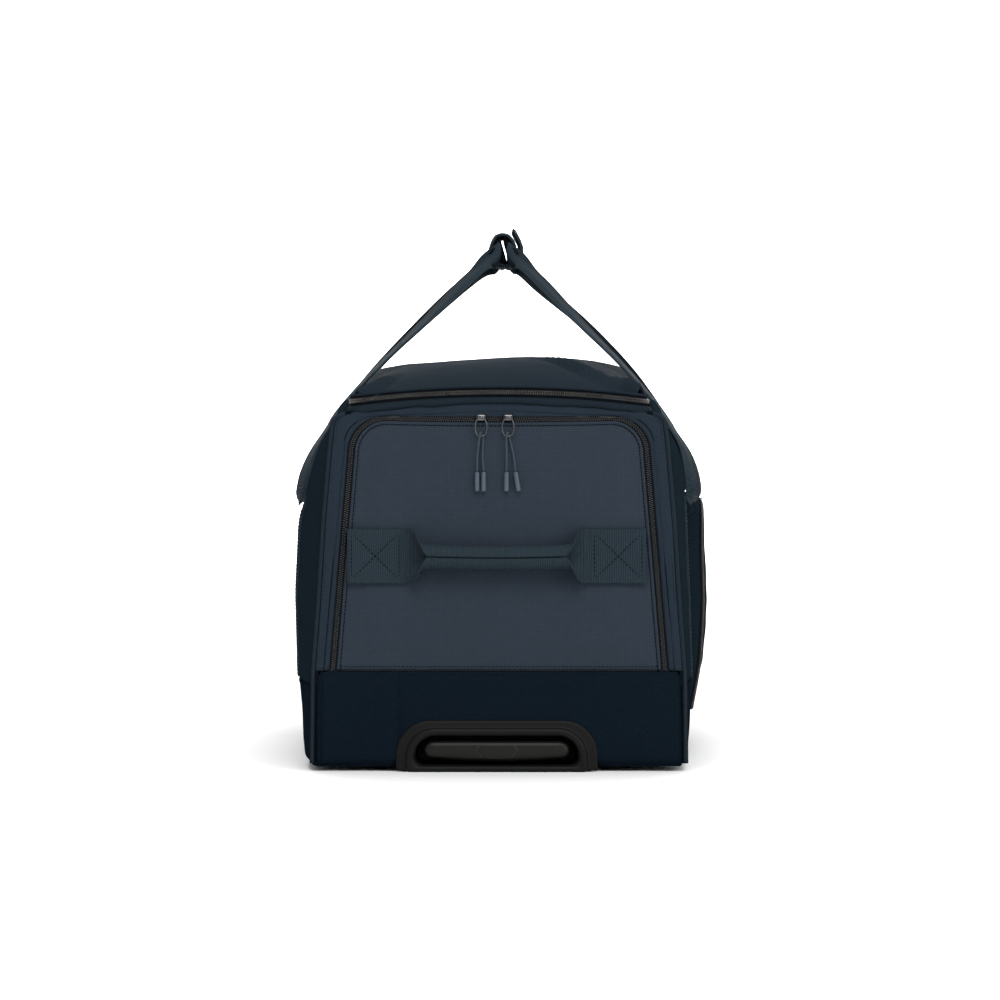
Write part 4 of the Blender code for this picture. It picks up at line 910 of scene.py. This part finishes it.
def lid():
    half, length = RIM_HALF + 0.0006, 0.3341
    folds = ((1, 0.105, 0.030), (-1, 0.050, 0.092), (1, 0.040, 0.100))

    def point(y, u):
        over = abs(y) - (length - RIM_CORNER)
        wide = half
        if over > 0:
            wide = half - RIM_CORNER + sqrt(max(0.0, RIM_CORNER ** 2 - over ** 2))
        x = wide * u
        reach = min(1.0, abs(y / length)) ** 7
        full = 4.3 + 28 * bell(y, 0.07)
        rise = SHOULDER * (1 - abs(u) ** full) + CROWN * (1 - abs(u) ** 2.5)
        rise = (rise + 0.006 * max(-0.3, u) * (1 - u * u)) * (1 - reach)
        z = rim_z(RIM_HALF) + (rim_z(x) - rim_z(half)) * reach + 0.0192 + rise
        calm = min(1.0, rise / 0.012)
        z += 0.0011 * calm * rumple(x, y * 0.7, 0, 0.080, 11.0)
        z += 0.0005 * calm * rumple(x, y, 0, 0.028, 12.0)
        # soft folds that run back from the front corners
        for side, run, start in folds:
            t = (side * x - start) / (0.135 - start)
            away = y + 0.330 - run * max(0.0, 1 - t) ** 1.4
            if 0 < t < 1.03:
                ease = min(1.0, (1.03 - t) * 8) * min(1.0, t * 3)
                z += (0.0058 * bell(away, 0.0080) - 0.0046 * bell(away + 0.014, 0.0080)) * ease
        return x, y, z + lip_drop(x) * (1 - clamp((z - 0.352) / 0.012))

    near = mm(0, 0.6, 1.4, 2.6, 4.2, 6.2, 8.8, 12, 16, 21, 27, 34, 42)
    edge = np.array((1.0, 0.996, 0.990, 0.982, 0.970, 0.955, 0.935, 0.91, 0.88, 0.845, 0.80,
                     0.75))
    ys = np.concatenate((near - length, span(-0.289, -0.205, 34), span(-0.198, 0.283, 62),
                         length - near[::-1]))
    us = np.concatenate((edge, span(0.69, -0.69, 35), -edge[::-1]))
    sheet("lid_cloth", lattice(point, ys, us), "lid", UP, "lid_panel", "lid_fabric", "lid",
          thick=0.0020, lining="lining", uv=xy)
    points, ways = lid_rim_line(True)
    wear(sweep("lid_edge_binding", points + UP * 0.0193 + ways * 0.0006, ways,
               circle(0.0013, 8), "lid", closed=True), "lid_panel", "lid_fabric")


# ---- side pocket ------------------------------------------------------------------

def pocket_line(offset):
    return arch(POCKET_HALF, POCKET_HALF, POCKET_BASE_Z, POCKET_TOP_Z, POCKET_RADIUS, offset,
                (50, 17, 51))


def pocket_foot_x(y, z):
    return max(side_x(y, z, 1), side_x(y, min(z, SEAM_SIDE_Z), 1) if z < 0.085 else 0)


def pocket_base_x(y, z):
    """The level of the pocket's zip, which a gusset holds off the side."""
    return pocket_foot_x(y, z) + eased(z, *POCKET_RAISE)


def side_pocket():
    line = np.array([(pocket_base_x(y, z) + 0.0032, y, z) for y, z in pocket_line(0.0)])
    ways = np.array([(1.0, ZIP_TILT * (b[0] - a[0]) / 0.01, ZIP_TILT * (b[1] - a[1]) / 0.01)
                     for a, b in zip(pocket_line(0.0), pocket_line(0.01))])
    for row, body, word in ((1, "bag", "outer"), (-1, "side_pocket", "inner")):
        grid = [[(pocket_base_x(ya, za) + 0.0026 - row * ZIP_TILT * 0.0047 * t,
                  ya + (yb - ya) * t, za + (zb - za) * t) for t in (0.0, 0.3, 0.7, 1.0)]
                for (ya, za), (yb, zb) in zip(pocket_line(row * 0.0001),
                                              pocket_line(row * 0.0048))]
        sheet(f"side_zip_tape_{word}", grid, "tape", RIGHT, body, "zip", "side_zip_" + word,
              thick=0.0012)
        wear(teeth(f"side_zip_teeth_{word}", line, ways, row), body, "zip")
    grid = []
    for (ya, za), (yb, zb) in zip(pocket_line(0.0044), pocket_line(0.0075)):
        high = np.array((pocket_base_x(ya, za) + 0.0026 - ZIP_TILT * 0.0044, ya, za))
        low = np.array((pocket_foot_x(yb, zb) + 0.0002, yb, zb))
        grid.append([high + (low - high) * t for t in span(0, 1, 8)])
    sheet("side_pocket_gusset", grid, "side", RIGHT, "bag", "twill", thick=0.0012,
          lining="lining", uv=yz)

    def point(edge, t):
        y, z = edge[0] * (1 - 2 * t), edge[1]
        height = (z - POCKET_BASE_Z) / (POCKET_TOP_Z - POCKET_BASE_Z)
        puff = (1 - abs(2 * t - 1) ** 6) * (1 - max(0.0, 2 * height - 1) ** 4)
        puff *= min(1.0, 0.15 + 4 * height)
        x = pocket_base_x(y, z) + 0.0032 + POCKET_DEPTH * puff
        calm = min(1.0, puff * 2)
        x += 0.0018 * calm * rumple(0, y * 0.8, z, 0.060, 21.0)
        return x + 0.0007 * calm * rumple(0, y, z, 0.022, 22.0), y, z

    grid = lattice(point, rising_edge(pocket_line(-HEM), POCKET_HALF - POCKET_RADIUS),
                   crowded(111, 1.7))
    sheet("side_pocket_cloth", grid, "side", RIGHT, "side_pocket", "twill", "side_pocket_panel",
          thick=0.0018, lining="lining", uv=yz)


# ---- webbing ----------------------------------------------------------------------

def anchors():
    for side, word in SIDES:
        for end, place in ENDS:
            def point(z, t, lift=0.0):
                y = end * ANCHOR_Y + t * STRAP_WIDTH / 2
                return (side * (side_x(y, z, side) + (lift or 0.0015 - 0.0006 * abs(t) ** 6)),
                        y, z)

            grid = lattice(point, span(0.0800, 0.2525, 74), span(-1, 1, 11))
            sheet(f"{word}_{place}_anchor_webbing", grid, "webbing", (side, 0, 0), "bag",
                  "webbing", f"{word}_{place}_strap_anchor", thick=0.0044)
            lines = [stitches("s", np.array([point(z, t, 0.0016) for z in span(0.083, 0.238, 60)]),
                              (side, 0, 0)) for t in (-0.86, 0.86)]
            wear(join(f"{word}_{place}_anchor_stitches", lines), "bag", "webbing")


# a strap's leg from its foot up: out, along and up in mm, and its turn in degrees
STRAP_ROUTE = (
    (189.8, 190, 260, 20), (185.6, 187, 278.5, 19), (177.5, 180, 299.1, 13),
    (163.8, 170, 321.9, 8.5), (151.2, 158, 341.9, 6.5), (117.2, 134, 380.6, 8),
    (77.5, 108, 420, 14), (41.4, 83, 457.9, 23.5), (23.3, 70.5, 475.6, 28),
)
REAR_SLACK = {-1: mm(0.5, 2, 5, 8, 10, 12, 12, 7, 2),
              1: mm(0.5, 3, 8, 11.5, 10.3, 13.1, 11.3, 1.2, -1)}
RIGHT_FOOT = ((0.0033, 5.0), (0.0012, 2.5), (-0.0005, 0.0))


def strap_sections(side, rear):
    """Cross-sections of one leg: centre, width way, face way, width and thickness."""
    across = np.array((side, 0.0, 0.0))
    centres, turns = [], []
    for n, ((out, along, z, turn), slack) in enumerate(zip(STRAP_ROUTE, REAR_SLACK[side])):
        out, along, z = mm(out, along, z)
        out += slack if rear else 0.0
        if side > 0 and n < len(RIGHT_FOOT):
            out -= RIGHT_FOOT[n][0]
            turn += RIGHT_FOOT[n][1]
        lean = WRAP_X * max(0.0, (z - 0.34) / 0.155)
        centres.append(np.array((side * out + lean, -along, z)))
        turns.append(radians(turn))
    foot = np.array((side * PIVOT_X[side], -ANCHOR_Y, PIVOT_Z))
    sections = [(foot, np.array((0.0, 1.0, 0.0)), across, STRAP_WIDTH, 0.002)]
    centres.insert(0, foot + (centres[0] - foot) * np.array((0.55, 1.0, 0.42)))
    turns.insert(0, turns[0] * 0.80)
    for n, centre in enumerate(centres):
        before = centres[n - 1] if n else foot
        after = centres[min(n + 1, len(centres) - 1)]
        run = unit(after - before)
        flat = unit(np.array((0.0, 1.0, 0.0)) - run * run[1])
        face = unit(np.cross(run, flat))
        if face[0] * side < 0:
            face = -face
        c, s = cos(turns[n]), sin(turns[n])
        width = STRAP_WIDTH - 0.012 * max(0.0, (centre[2] - 0.40) / 0.08)
        sections.append((centre, flat * c + face * s, face * c - flat * s, width, 0.0022))
    for out, along, z, share in ((0.0120, 0.0625, 0.4850, 0.6), (0.0060, 0.0575, 0.4900, 0.9)):
        wide = unit(sections[-1][1] * (1 - share) + UP * share)
        face = unit(across - wide * across.dot(wide))
        sections.append((np.array((WRAP_X + side * out, -along, z)), wide, face, 0.024, 0.0024))
    for y in (-0.050, -0.020):
        centre = np.array((WRAP_X + side * 0.0050, y, 0.4922))
        sections.append((centre, UP, across, 0.022, 0.0028))
    return np.array([np.concatenate((*ways, (wide, thick))) for *ways, wide, thick in sections])


def fold_under_lid(obj):
    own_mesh(obj)


def carry_straps():
    for side, word in SIDES:
        near, far = (refine(strap_sections(side, rear), 20) for rear in (False, True))
        far = far[::-1].copy()
        far[:, [1, 4, 7]] *= -1
        grid = []
        length, last = 0.0, near[0, :3]
        for row in np.concatenate((near, far)):
            centre, wide, face, (width, thick) = row[:3], unit(row[3:6]), unit(row[6:9]), row[9:]
            length += float(np.linalg.norm(centre - last))
            last = centre
            cup = 0.0012 * min(1.0, length / 0.03)
            folds = 0.0006 * sin(centre[2] * TAU / 0.0036) * bell(centre[2] - 0.2585, 0.011)
            grid.append([centre + wide * (a * width)
                         + face * (b * thick - cup * (1 - (2 * a) ** 2)
                                   + folds * (1 - (2 * a) ** 4))
                         for a, b in band(0.5)])
        obj = grid_mesh(f"{word}_carry_webbing", grid, "webbing", tube=True)
        wear(obj, word + "_handle", "webbing", word + "_carry_strap")
        fold_under_lid(obj)


# the wrap's two halves, seen from the front
RING = mm((4, 477), (-5, 479.5), (-10.8, 486.5), (-11.9, 494.6), (-8.9, 504.5), (-5, 510.3),
          (1, 512.2), (7, 511.5), (10.9, 508.5), (14, 504), (15.8, 498.5))
TAIL = mm((5, 476.8), (14, 479.5), (20, 486), (22.2, 493.5), (22.6, 498.5), (20.7, 504.5),
          (18, 510), (16, 514), (14.6, 517))


def ribbon(name, outline, thick, half, ruffle):
    """A padded band inside an outline of (x, z) points, drawn out along Y."""
    spine = even(refine([(x, 0.0, z) for x, z in outline], 8), 0.0016)
    across = tangents(spine)
    out = np.stack([-across[:, 2], across[:, 1] * 0, across[:, 0]], axis=1)
    if ((spine - spine.mean(0)) * out).sum() < 0:
        out = -out
    grid = []
    for n, (p, o) in enumerate(zip(spine, out)):
        tail = min(n, len(spine) - 1 - n)
        wall = thick * (1 - 0.75 * max(0.0, 1 - tail / 1.8) ** 2)
        loop = []
        for a, b in band(1.0):
            y = a * half
            pad = wall * (1 + 0.20 * (1 - a * a))
            dent = ruffle * rumple(p[0], y, p[2], 0.018, 14.0)
            loop.append(p + np.array((0.0, y, 0.0)) + o * (b * pad - thick / 2 + dent))
        grid.append(loop)
    return grid_mesh(name, grid, "webbing", tube=True)


def wrap_lining(name, side):
    """Padding between a strap and the wrap, up to the slanted gap in the middle."""
    loop = []
    for a in map(radians, span(90, 270, 19)):
        x = WRAP_X + side * -0.0128 * cos(a)
        loop.append((x if side * (x - WRAP_X) > 0.003 else WRAP_X + side * 0.003,
                     WRAP_Z - 0.0002 + 0.0145 * sin(a)))
    loop += [(0.0045 - 0.28 * dz + side * 0.0012, 0.4945 + dz) for dz in span(-0.012, 0.012, 7)]
    ends = ((0.0500, 0.90), (0.0485, 0.98), (0.0470, 1.0))
    grid = [[(WRAP_X + (x - WRAP_X) * k, y, WRAP_Z + (z - WRAP_Z) * k) for x, z in loop]
            for y, k in [(-y, k) for y, k in ends] + list(ends[::-1])]
    return grid_mesh(name, grid, "tape", tube=True)


def wraps():
    left = ribbon("left_wrap_band", RING, 0.0046, WRAP_HALF, 0.0003)
    right = ribbon("right_wrap_band", TAIL, 0.0048, WRAP_HALF - 0.001, 0.0004)
    for obj, (side, word) in zip((left, right), SIDES):
        wear(obj, word + "_handle", "webbing", "handle_wrap_" + word)
        lining = wrap_lining(word + "_wrap_lining", side)
        wear(lining, word + "_handle", "webbing")
        for piece in (obj, lining):
            fold_under_lid(piece)


def haul_handle(end, body, prefix, node):
    """A wide webbing sewn down at both ends and rolled into a grip between them."""
    face, width, height = LENGTH_HALF + 0.0034, 0.0505, 0.2000

    def point(x, s):
        t = clamp((0.0855 - abs(x)) / 0.0225)
        rolled = t * t * (3 - 2 * t)
        angle = pi * max(0.02, rolled * 0.986)
        radius = width / 2 / angle
        z = radius * sin(s * angle) * (1 + 0.18 * rolled)
        z *= 1 + 0.06 * bell(abs(x) - 0.0645, 0.0022)
        out = radius * (1 - cos(s * angle)) * (0.80 if rolled > 0 else 1.0) + 0.0052 * rolled
        out += 0.0004 * sin(x * TAU / 0.0026) * bell(abs(x) - 0.079, 0.006)
        sag = -0.0012 * rolled * (1 - (x / 0.066) ** 2) if abs(x) < 0.066 else 0.0
        return np.array((x + TROLLEY_X, end * (face + 0.0012 + out), height + z + sag))

    flat, neck = span(0.0865, 0.1385, 22), span(0.0600, 0.0855, 44)
    xs = np.concatenate([-flat[::-1], -neck[::-1], span(-0.0580, 0.0580, 48), neck, flat])
    sheet(prefix + "_haul_webbing_cloth", lattice(point, xs, span(-1, 1, 41)), "webbing",
          (0, end, 0), body, "webbing", node, thick=0.0014)
    pieces = []
    for side in (-1, 1):
        xa, xb, low, high = side * 0.0905, side * 0.1345, -0.0215, 0.0215
        box = [(xa, low), (xb, low), (xb, high), (xa, high), (xa, low), (xb, high)]
        for (x1, z1), (x2, z2) in [*zip(box, box[1:]), (box[1], box[3])]:
            line = np.array([(x1 + (x2 - x1) * t + TROLLEY_X, end * (face + 0.0014),
                              height + z1 + (z2 - z1) * t) for t in span(0, 1, 12)])
            pieces.append(stitches("s", line, (0, end, 0), radius=0.00042))
    line = np.array([(point(x, 1.0) + point(x, -1.0)) / 2 for x in span(-0.060, 0.060, 50)])
    line[:, 1] += end * 0.0002
    pieces.append(stitches("s", line, (0, end, 0), 0.0016, 0.0009, 0.0004))
    wear(join(prefix + "_haul_stitches", pieces), body, "webbing")

    def pad(x, turn):
        round_ = min(1.0, (0.0655 - abs(x)) / 0.004 + 0.25)
        return (x + TROLLEY_X, end * (face + 0.0132 + 0.0046 * round_ * cos(turn)),
                height - 0.0012 * (1 - (x / 0.066) ** 2) + 0.0076 * round_ * sin(turn))

    core = grid_mesh(prefix + "_haul_grip_pad", lattice(pad, span(-0.0655, 0.0655, 34),
                                                        [TAU * n / 16 for n in range(16)]),
                     "webbing", tube=True)
    wear(core, body, "webbing", *(["front_haul_grip"] if end < 0 else []))


# ---- zip hardware -----------------------------------------------------------------

def slider(name, x, body, node, place, front):
    """A zip slider: a domed shield with a bridge that holds the pull."""
    def world(a, out, up):
        if front:
            return x + a, place[0] - out, place[1] + up
        return place[0] + out, x + a, place[1] + up

    def point(t, s):
        half = 0.0037 * (1 - 0.25 * abs(t) ** 3) if front else 0.0037
        return world(t * 0.0052, 0.0020 * (1 - s ** 4) * (1 - t ** 6) + 0.0004, s * half)

    sheet(name + "_shield", lattice(point, span(-1, 1, 13), span(-1, 1, 11)), "gunmetal",
          FRONT if front else RIGHT, body, "gunmetal", node, thick=0.0012)
    rise = mm((-3.6, 2.2), (-3.0, 3.6), (-1.2, 4.5), (1.2, 4.5), (3.0, 3.6), (3.6, 2.2))
    wear(sweep(name + "_bridge", refine([world(a, out, 0.0004) for a, out in rise], 4), UP,
               [(0.0004 * c, 0.0011 * s) for c, s in circle(1.0)], "gunmetal"),
         body, "gunmetal")


def ring_path(x, y, top, half_w, height):
    """A pull's ring, a little narrower above."""
    points = []
    for a in [TAU * n / 48 for n in range(48)]:
        up = sin(a)
        wide = half_w * (1.0 if up < 0 else 1 - 0.22 * up ** 2)
        points.append((x + wide * copysign(abs(cos(a)) ** 0.8, cos(a)), y,
                       top - height / 2 + height / 2 * copysign(abs(up) ** 0.85, up)))
    return points


def tip(name, top, lean, body, node):
    run = Vector((lean, 0, -1)).normalized()
    side = run.cross(Vector((0, 1, 0))).normalized()
    grid = [[Vector(top) + run * along + side * (r * cos(a)) + Vector((0, r * sin(a), 0))
             for a in [TAU * n / 18 for n in range(18)]] for along, r in
            mm((0, 0.9), (0, 1.7), (0.4, 2.05), (1.4, 2.2), (15, 2.4), (15.6, 2.15), (16.1, 2.4),
               (17.2, 2.3), (17.8, 1.9), (18.1, 0.9))]
    return wear(grid_mesh(name, grid, "tip", tube=True), body, "tip", node)


def front_pulls():
    plate_y = -LENGTH_HALF - 0.0008
    hang_y, hang_z = plate_y - 0.0036, ZIP_TOP_Z + 0.0002
    foot = hang_z - 0.0165
    tip_z = foot - 0.0335
    for (side, word), x, ends in zip(SIDES, (-0.0165, 0.0085), (
            ((-0.0030, 0.0), (0.0030, 0.0)), ((-0.0022, 0.0), (0.0062, 0.16)))):
        slider(word + "_slider", x, word + "_slider", word + "_zip_slider",
               (plate_y, ZIP_TOP_Z + 0.0006), True)
        ring = sweep(word + "_ring", ring_path(x, hang_y, hang_z + 0.0008, 0.0054, 0.0175),
                     FRONT, circle(0.00072), "gunmetal", closed=True)
        wear(ring, word + "_pull", "gunmetal", word + "_pull_ring")
        out = side * 0.0007
        route = [
            (x + ends[0][0] + out, hang_y - 0.0006, tip_z + 0.0004),
            (x + ends[0][0] * 0.9 + out, hang_y - 0.0010, tip_z + 0.0150),
            (x - 0.0016, hang_y - 0.0022, foot - 0.0030),
            (x - 0.0009, hang_y - 0.0024, foot + 0.0012),
            (x - 0.0003, hang_y - 0.0002, foot + 0.0034),
            (x + 0.0006, hang_y + 0.0022, foot + 0.0010),
            (x + 0.0018, hang_y + 0.0012, foot - 0.0040),
            (x + ends[1][0] * 0.7 + out, hang_y + 0.0002, tip_z + 0.0150),
            (x + ends[1][0] + out, hang_y - 0.0006, tip_z + 0.0004),
        ]
        points = even(refine(route, 20), 0.0012)
        cord = sweep(word + "_cord", points, (0.3, 0.9, 0.1), circle(0.0010, 12), "cord")
        wear(cord, word + "_pull", "cord", word + "_pull_cord")
        for place, (shift, lean) in zip(("outer", "inner")[::-side], ends):
            label = f"{word}_{place}_tip"
            tip(label + "_moulding", (x + shift + out, hang_y - 0.0006, tip_z), lean,
                            word + "_pull", label)
        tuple(route[0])


def small_sliders():
    z = rim_z(RIM_HALF) + 0.0140 + lip_drop(RIM_HALF)
    slider("lid_slider", 0.0, "lid_slider", "lid_zip_slider", (RIM_HALF + 0.0012, z), False)
    x = pocket_base_x(0, POCKET_TOP_Z) + 0.0032
    slider("side_slider", 0.0, "side_slider", "side_zip_slider", (x, POCKET_TOP_Z), False)


# ---- trolley ----------------------------------------------------------------------

def trolley_housing():
    # depth, half width, bottom, top, radius of the upper and of the lower corners
    rows = mm(
        (-274, 88.5, 0, 43.5, 26, 3), (-334.5, 88.5, 0, 43.5, 26, 3), (-335.2, 90.5, 1, 45, 29, 3),
        (-335.4, 92.5, 1.6, 46.7, 31, 3), (-335.8, 93.4, 1.6, 47.4, 32, 3),
        (-336.8, 93.5, 1.6, 47.5, 32, 3), (-337.6, 93.1, 1.8, 47.1, 31.6, 3),
        (-338, 92.4, 2.2, 46.4, 31, 3), (-338.3, 89.5, 1.4, 44.4, 29.5, 3),
        (-338.4, 86, 0.4, 42, 28, 3), (-338.8, 84.6, 0, 41, 27.6, 3),
        (-339.8, 84.2, 0, 40.6, 27.5, 3), (-341.2, 83.6, 0, 40, 27, 3),
        (-342, 82.6, 0.4, 39, 26.3, 3), (-342.4, 81.2, 1.6, 37.6, 25.5, 3.4),
        (-342.4, 80, 3, 36.2, 24.6, 4.4), (-342, 78.6, 4.4, 35, 23.2, 5.8),
        (-340.8, 77, 5.2, 34, 21, 7), (-338.5, 76.1, 5.6, 33.4, 19.5, 8),
        (-330, 75.7, 5.8, 33.2, 19, 8), (-303, 75.1, 6, 32.9, 18.4, 8),
        (-300.6, 74.2, 6.8, 32.1, 17.8, 7.4), (-300, 72, 9, 29.9, 16, 6))
    grid = []
    for y, half, low, high, upper, lower in rows:
        loop = []
        for quarter, (sx, z, r) in enumerate(((1, high - upper, upper), (-1, high - upper, upper),
                                              (-1, low + lower, lower), (1, low + lower, lower))):
            loop += [(TROLLEY_X + sx * (half - r) + r * cos(a), y, z + r * sin(a))
                     for a in map(radians, span(90 * quarter, 90 * quarter + 90, 13))]
        grid.append(loop)
    wear(grid_mesh("trolley_housing_moulding", grid, "plastic", tube=True), "bag", "plastic",
         "trolley_housing")


def grip_outline(y, inset):
    """The grip seen from the front: flat above, its lower edge bowed down."""
    half, top, low, r = GRIP_HALF, 0.0285, 0.0092, 0.0085
    right = [(half - r + r * cos(a), top - r + r * sin(a))
             for a in map(radians, span(-60, 90, 15))]
    points = right + [(-x, z) for x, z in reversed(right)]
    points += [((half - 0.006) * (2 * t - 1), low + 0.0030 * (2 * t - 1) ** 2)
               for t in span(0.02, 0.98, 25)]
    middle = (top + low) / 2
    return [(TROLLEY_X + x * (1 - inset / half), y,
             middle + (z - middle) * (1 - inset / (top - middle))) for x, z in points]


def button_outline(y, grow):
    """Straight above and narrower below, with pointed ends."""
    corners = [tuple(p) for p in mm((15.8, 5.8), (19, 2.2), (18.2, 0.6), (12.8, -5.8))]
    corners += [(-x, z) for x, z in reversed(corners)]
    points = []
    for (x, z), (nx, nz) in zip(corners, corners[1:] + corners[:1]):
        for t in (0.08, 0.35, 0.65, 0.92):
            px, pz = x + (nx - x) * t, z + (nz - z) * t
            k = 1 + grow / hypot(px, pz)
            points.append((TROLLEY_X + px * k, y, 0.0188 + pz * k))
    return points


def trolley_grip():
    # each piece's outline, its look and what it stands for, then its depths and insets
    for name, outline, look, body, nodes, smooth, shape in (
            ("grip_front_moulding", grip_outline, "gloss", "trolley_grip", ["grip_front_shell"],
             True, ((-325.5, 0.4), (-326.2, 0), (-331, 0), (-333, 0.3), (-334.6, 1.0),
                    (-335.6, 2.0), (-336.3, 3.4), (-336.8, 5.2), (-337.1, 7.5))),
            ("grip_rear_moulding", grip_outline, "gloss", "trolley_grip", ["grip_rear_shell"],
             True, ((-312, 3.5), (-312.4, 1.8), (-313.4, 0.6), (-315, 0), (-324.4, 0),
                    (-325.1, 0.4))),
            ("button_seat", button_outline, "rubber", "trolley_grip", [], False,
             ((-334, 0.6), (-337.24, 0.6))),
            ("release_button_moulding", button_outline, "gloss", "trolley_button",
             ["release_button"], True, ((-330, 0), (-337.1, 0), (-337.5, -0.2), (-337.7, -0.6),
                                        (-337.8, -1.2)))):
        wear(grid_mesh(name, [outline(*row) for row in mm(*shape)], look, tube=True,
                       smooth=smooth), body, "plastic", *nodes)


# ---- wheels -----------------------------------------------------------------------

def turned(name, half, centre, look, steps):
    """A ring turned on the wheel's axis from the inner half of its (x, r) profile."""
    profile = np.concatenate((mm(*half) * (-1, 1), mm(*half[::-1])))
    grid = [[(centre[0] + x, centre[1] + r * cos(a), centre[2] + r * sin(a)) for x, r in profile]
            for a in [TAU * n / steps for n in range(steps)]]
    return grid_mesh(name, grid, look, ring=True, tube=True)


def wheels():
    tread = ((10.5, 26.2), (11.8, 27.5), (12, 30), (11.8, 32.2), (10.8, 33.8), (9, 34.6),
             (6.6, 35), (6.2, 34.2), (5.4, 34.2), (5, 35))
    hub = ((11.3, 3.6), (11.3, 7.8), (10, 8.6), (4.5, 10.4), (4, 11.2), (4, 19.8), (6, 21.4),
           (9.6, 22.6), (10, 24), (9.6, 25.6))
    spoke = mm((1.6, 7.8), (1.1, 8.6), (-1.1, 8.6), (-1.6, 7.8), (-1.6, -7.8), (-1.1, -8.6),
               (1.1, -8.6), (1.6, -7.8))
    for side, word in SIDES:
        body = word + "_wheel"
        centre = np.array((side * WHEEL_X, WHEEL_Y, WHEEL_R))
        wear(turned(word + "_tread", tread, centre, "rubber", 72), body, "tyre", "tyre_" + word)
        wear(turned(word + "_hub_moulding", hub, centre, "hub", 48), body, "plastic",
             "hub_" + word)
        spokes = [sweep("s", [centre + np.array((0.0, cos(a), sin(a))) * r
                              for r in span(0.0092, 0.0232, 8)], RIGHT, spoke, "hub")
                  for a in [TAU * n / 6 for n in range(6)]]
        wear(join(word + "_spokes", spokes), body, "plastic")
        part = "wheel_housing_" + word
        copy = bpy.data.objects.new(part + "_moulding", NODES[part].data.copy())
        bpy.context.scene.collection.objects.link(copy)
        work = bmesh.new()
        work.from_mesh(copy.data)
        bmesh.ops.remove_doubles(work, verts=work.verts, dist=0.00001)
        bmesh.ops.dissolve_limit(work, angle_limit=0.01, verts=work.verts, edges=work.edges)
        work.to_mesh(copy.data)
        work.free()
        copy.data.materials.clear()
        copy.data.materials.append(LOOK["plastic"])
        step = copy.modifiers.new("round", "BEVEL")
        step.width, step.segments, step.harden_normals = 0.0012, 3, True
        step.limit_method, step.angle_limit = "ANGLE", radians(35)
        wear(copy, "bag", "plastic", part)


def finish_cad_nodes():
    looks = {"outer_tube": "alloy", "middle_tube": "alloy", "inner_tube": "alloy",
             "axle": "steel", "button_spring": "steel", "base_board": "board"}
    for name, obj in NODES.items():
        for start, look in looks.items():
            if name.startswith(start):
                for slot in obj.material_slots:
                    slot.material = LOOK[look]


# ---- set --------------------------------------------------------------------------

def studio():
    scene = bpy.context.scene
    scene.view_settings.view_transform = "Standard"

    def place(name, data, at, target):
        obj = bpy.data.objects.new(name, data)
        obj.location = at
        obj.rotation_euler = (Vector(target) - Vector(at)).to_track_quat("-Z", "Y").to_euler()
        scene.collection.objects.link(obj)
        return obj

    lens = bpy.data.cameras.new("camera")
    lens.lens, lens.sensor_width, lens.clip_start = 147.7, 36.0, 0.05
    scene.camera = place("camera", lens, (0.020, -4.135, 0.3315), (0.0010, -LENGTH_HALF, 0.2519))

    world = bpy.data.worlds.new("studio")
    world.use_nodes = True
    light = world.node_tree.nodes["Background"].inputs
    light[0].default_value, light[1].default_value = (1.0, 1.0, 1.0, 1.0), 0.55
    scene.world = world
    bag = (0, 0, 0.2)
    for name, at, size, power, target in (
            ("key", (0.3, -2.4, 2.6), (2.4, 1.4), 75, bag),
            ("fill", (2.2, -2.2, 1.0), (1.2, 1.6), 22, bag),
            ("top", (0.0, 0.8, 3.2), (3.0, 2.0), 60, bag),
            ("backdrop", (0.0, 4.6, 3.6), (6.0, 1.6), 620, (0.0, 6.4, 0.6))):
        data = bpy.data.lights.new(name, "AREA")
        data.shape, data.energy = "RECTANGLE", power
        data.size, data.size_y = size
        place(name, data, at, target)

    paper = Graph("backdrop")
    grain = paper.noise(0.4, 2.0)
    paper.finish((0.86, 0.86, 0.86), paper.calc("MULTIPLY_ADD", grain, 0.02, 0.99), 0.9)
    LOOK["backdrop"] = paper.look
    profile = [(-8.0, 0.0), (5.4, 0.0)] + [(5.4 + 1.2 * sin(a), 1.2 - 1.2 * cos(a))
                                           for a in span(0.1, pi / 2, 12)] + [(6.6, 5.0)]
    rows = [[(x, y, z - 0.0001) for x in span(-8, 8, 5)] for y, z in profile]
    grid_mesh("floor", rows, "backdrop", out=(0, -1, 1))


for build in (studio, front_pulls, tub, side_panels, piping, front_border, flap, front_zip,
              pocket_lining, rear_panel, rain_lip, lid_zip, lid, side_pocket, anchors,
              carry_straps, wraps):
    build()
haul_handle(-1, "pocket_flap", "front", "front_haul_webbing")
haul_handle(1, "bag", "rear", "rear_haul_handle")
for build in (small_sliders, trolley_housing, trolley_grip, wheels, finish_cad_nodes):
    build()
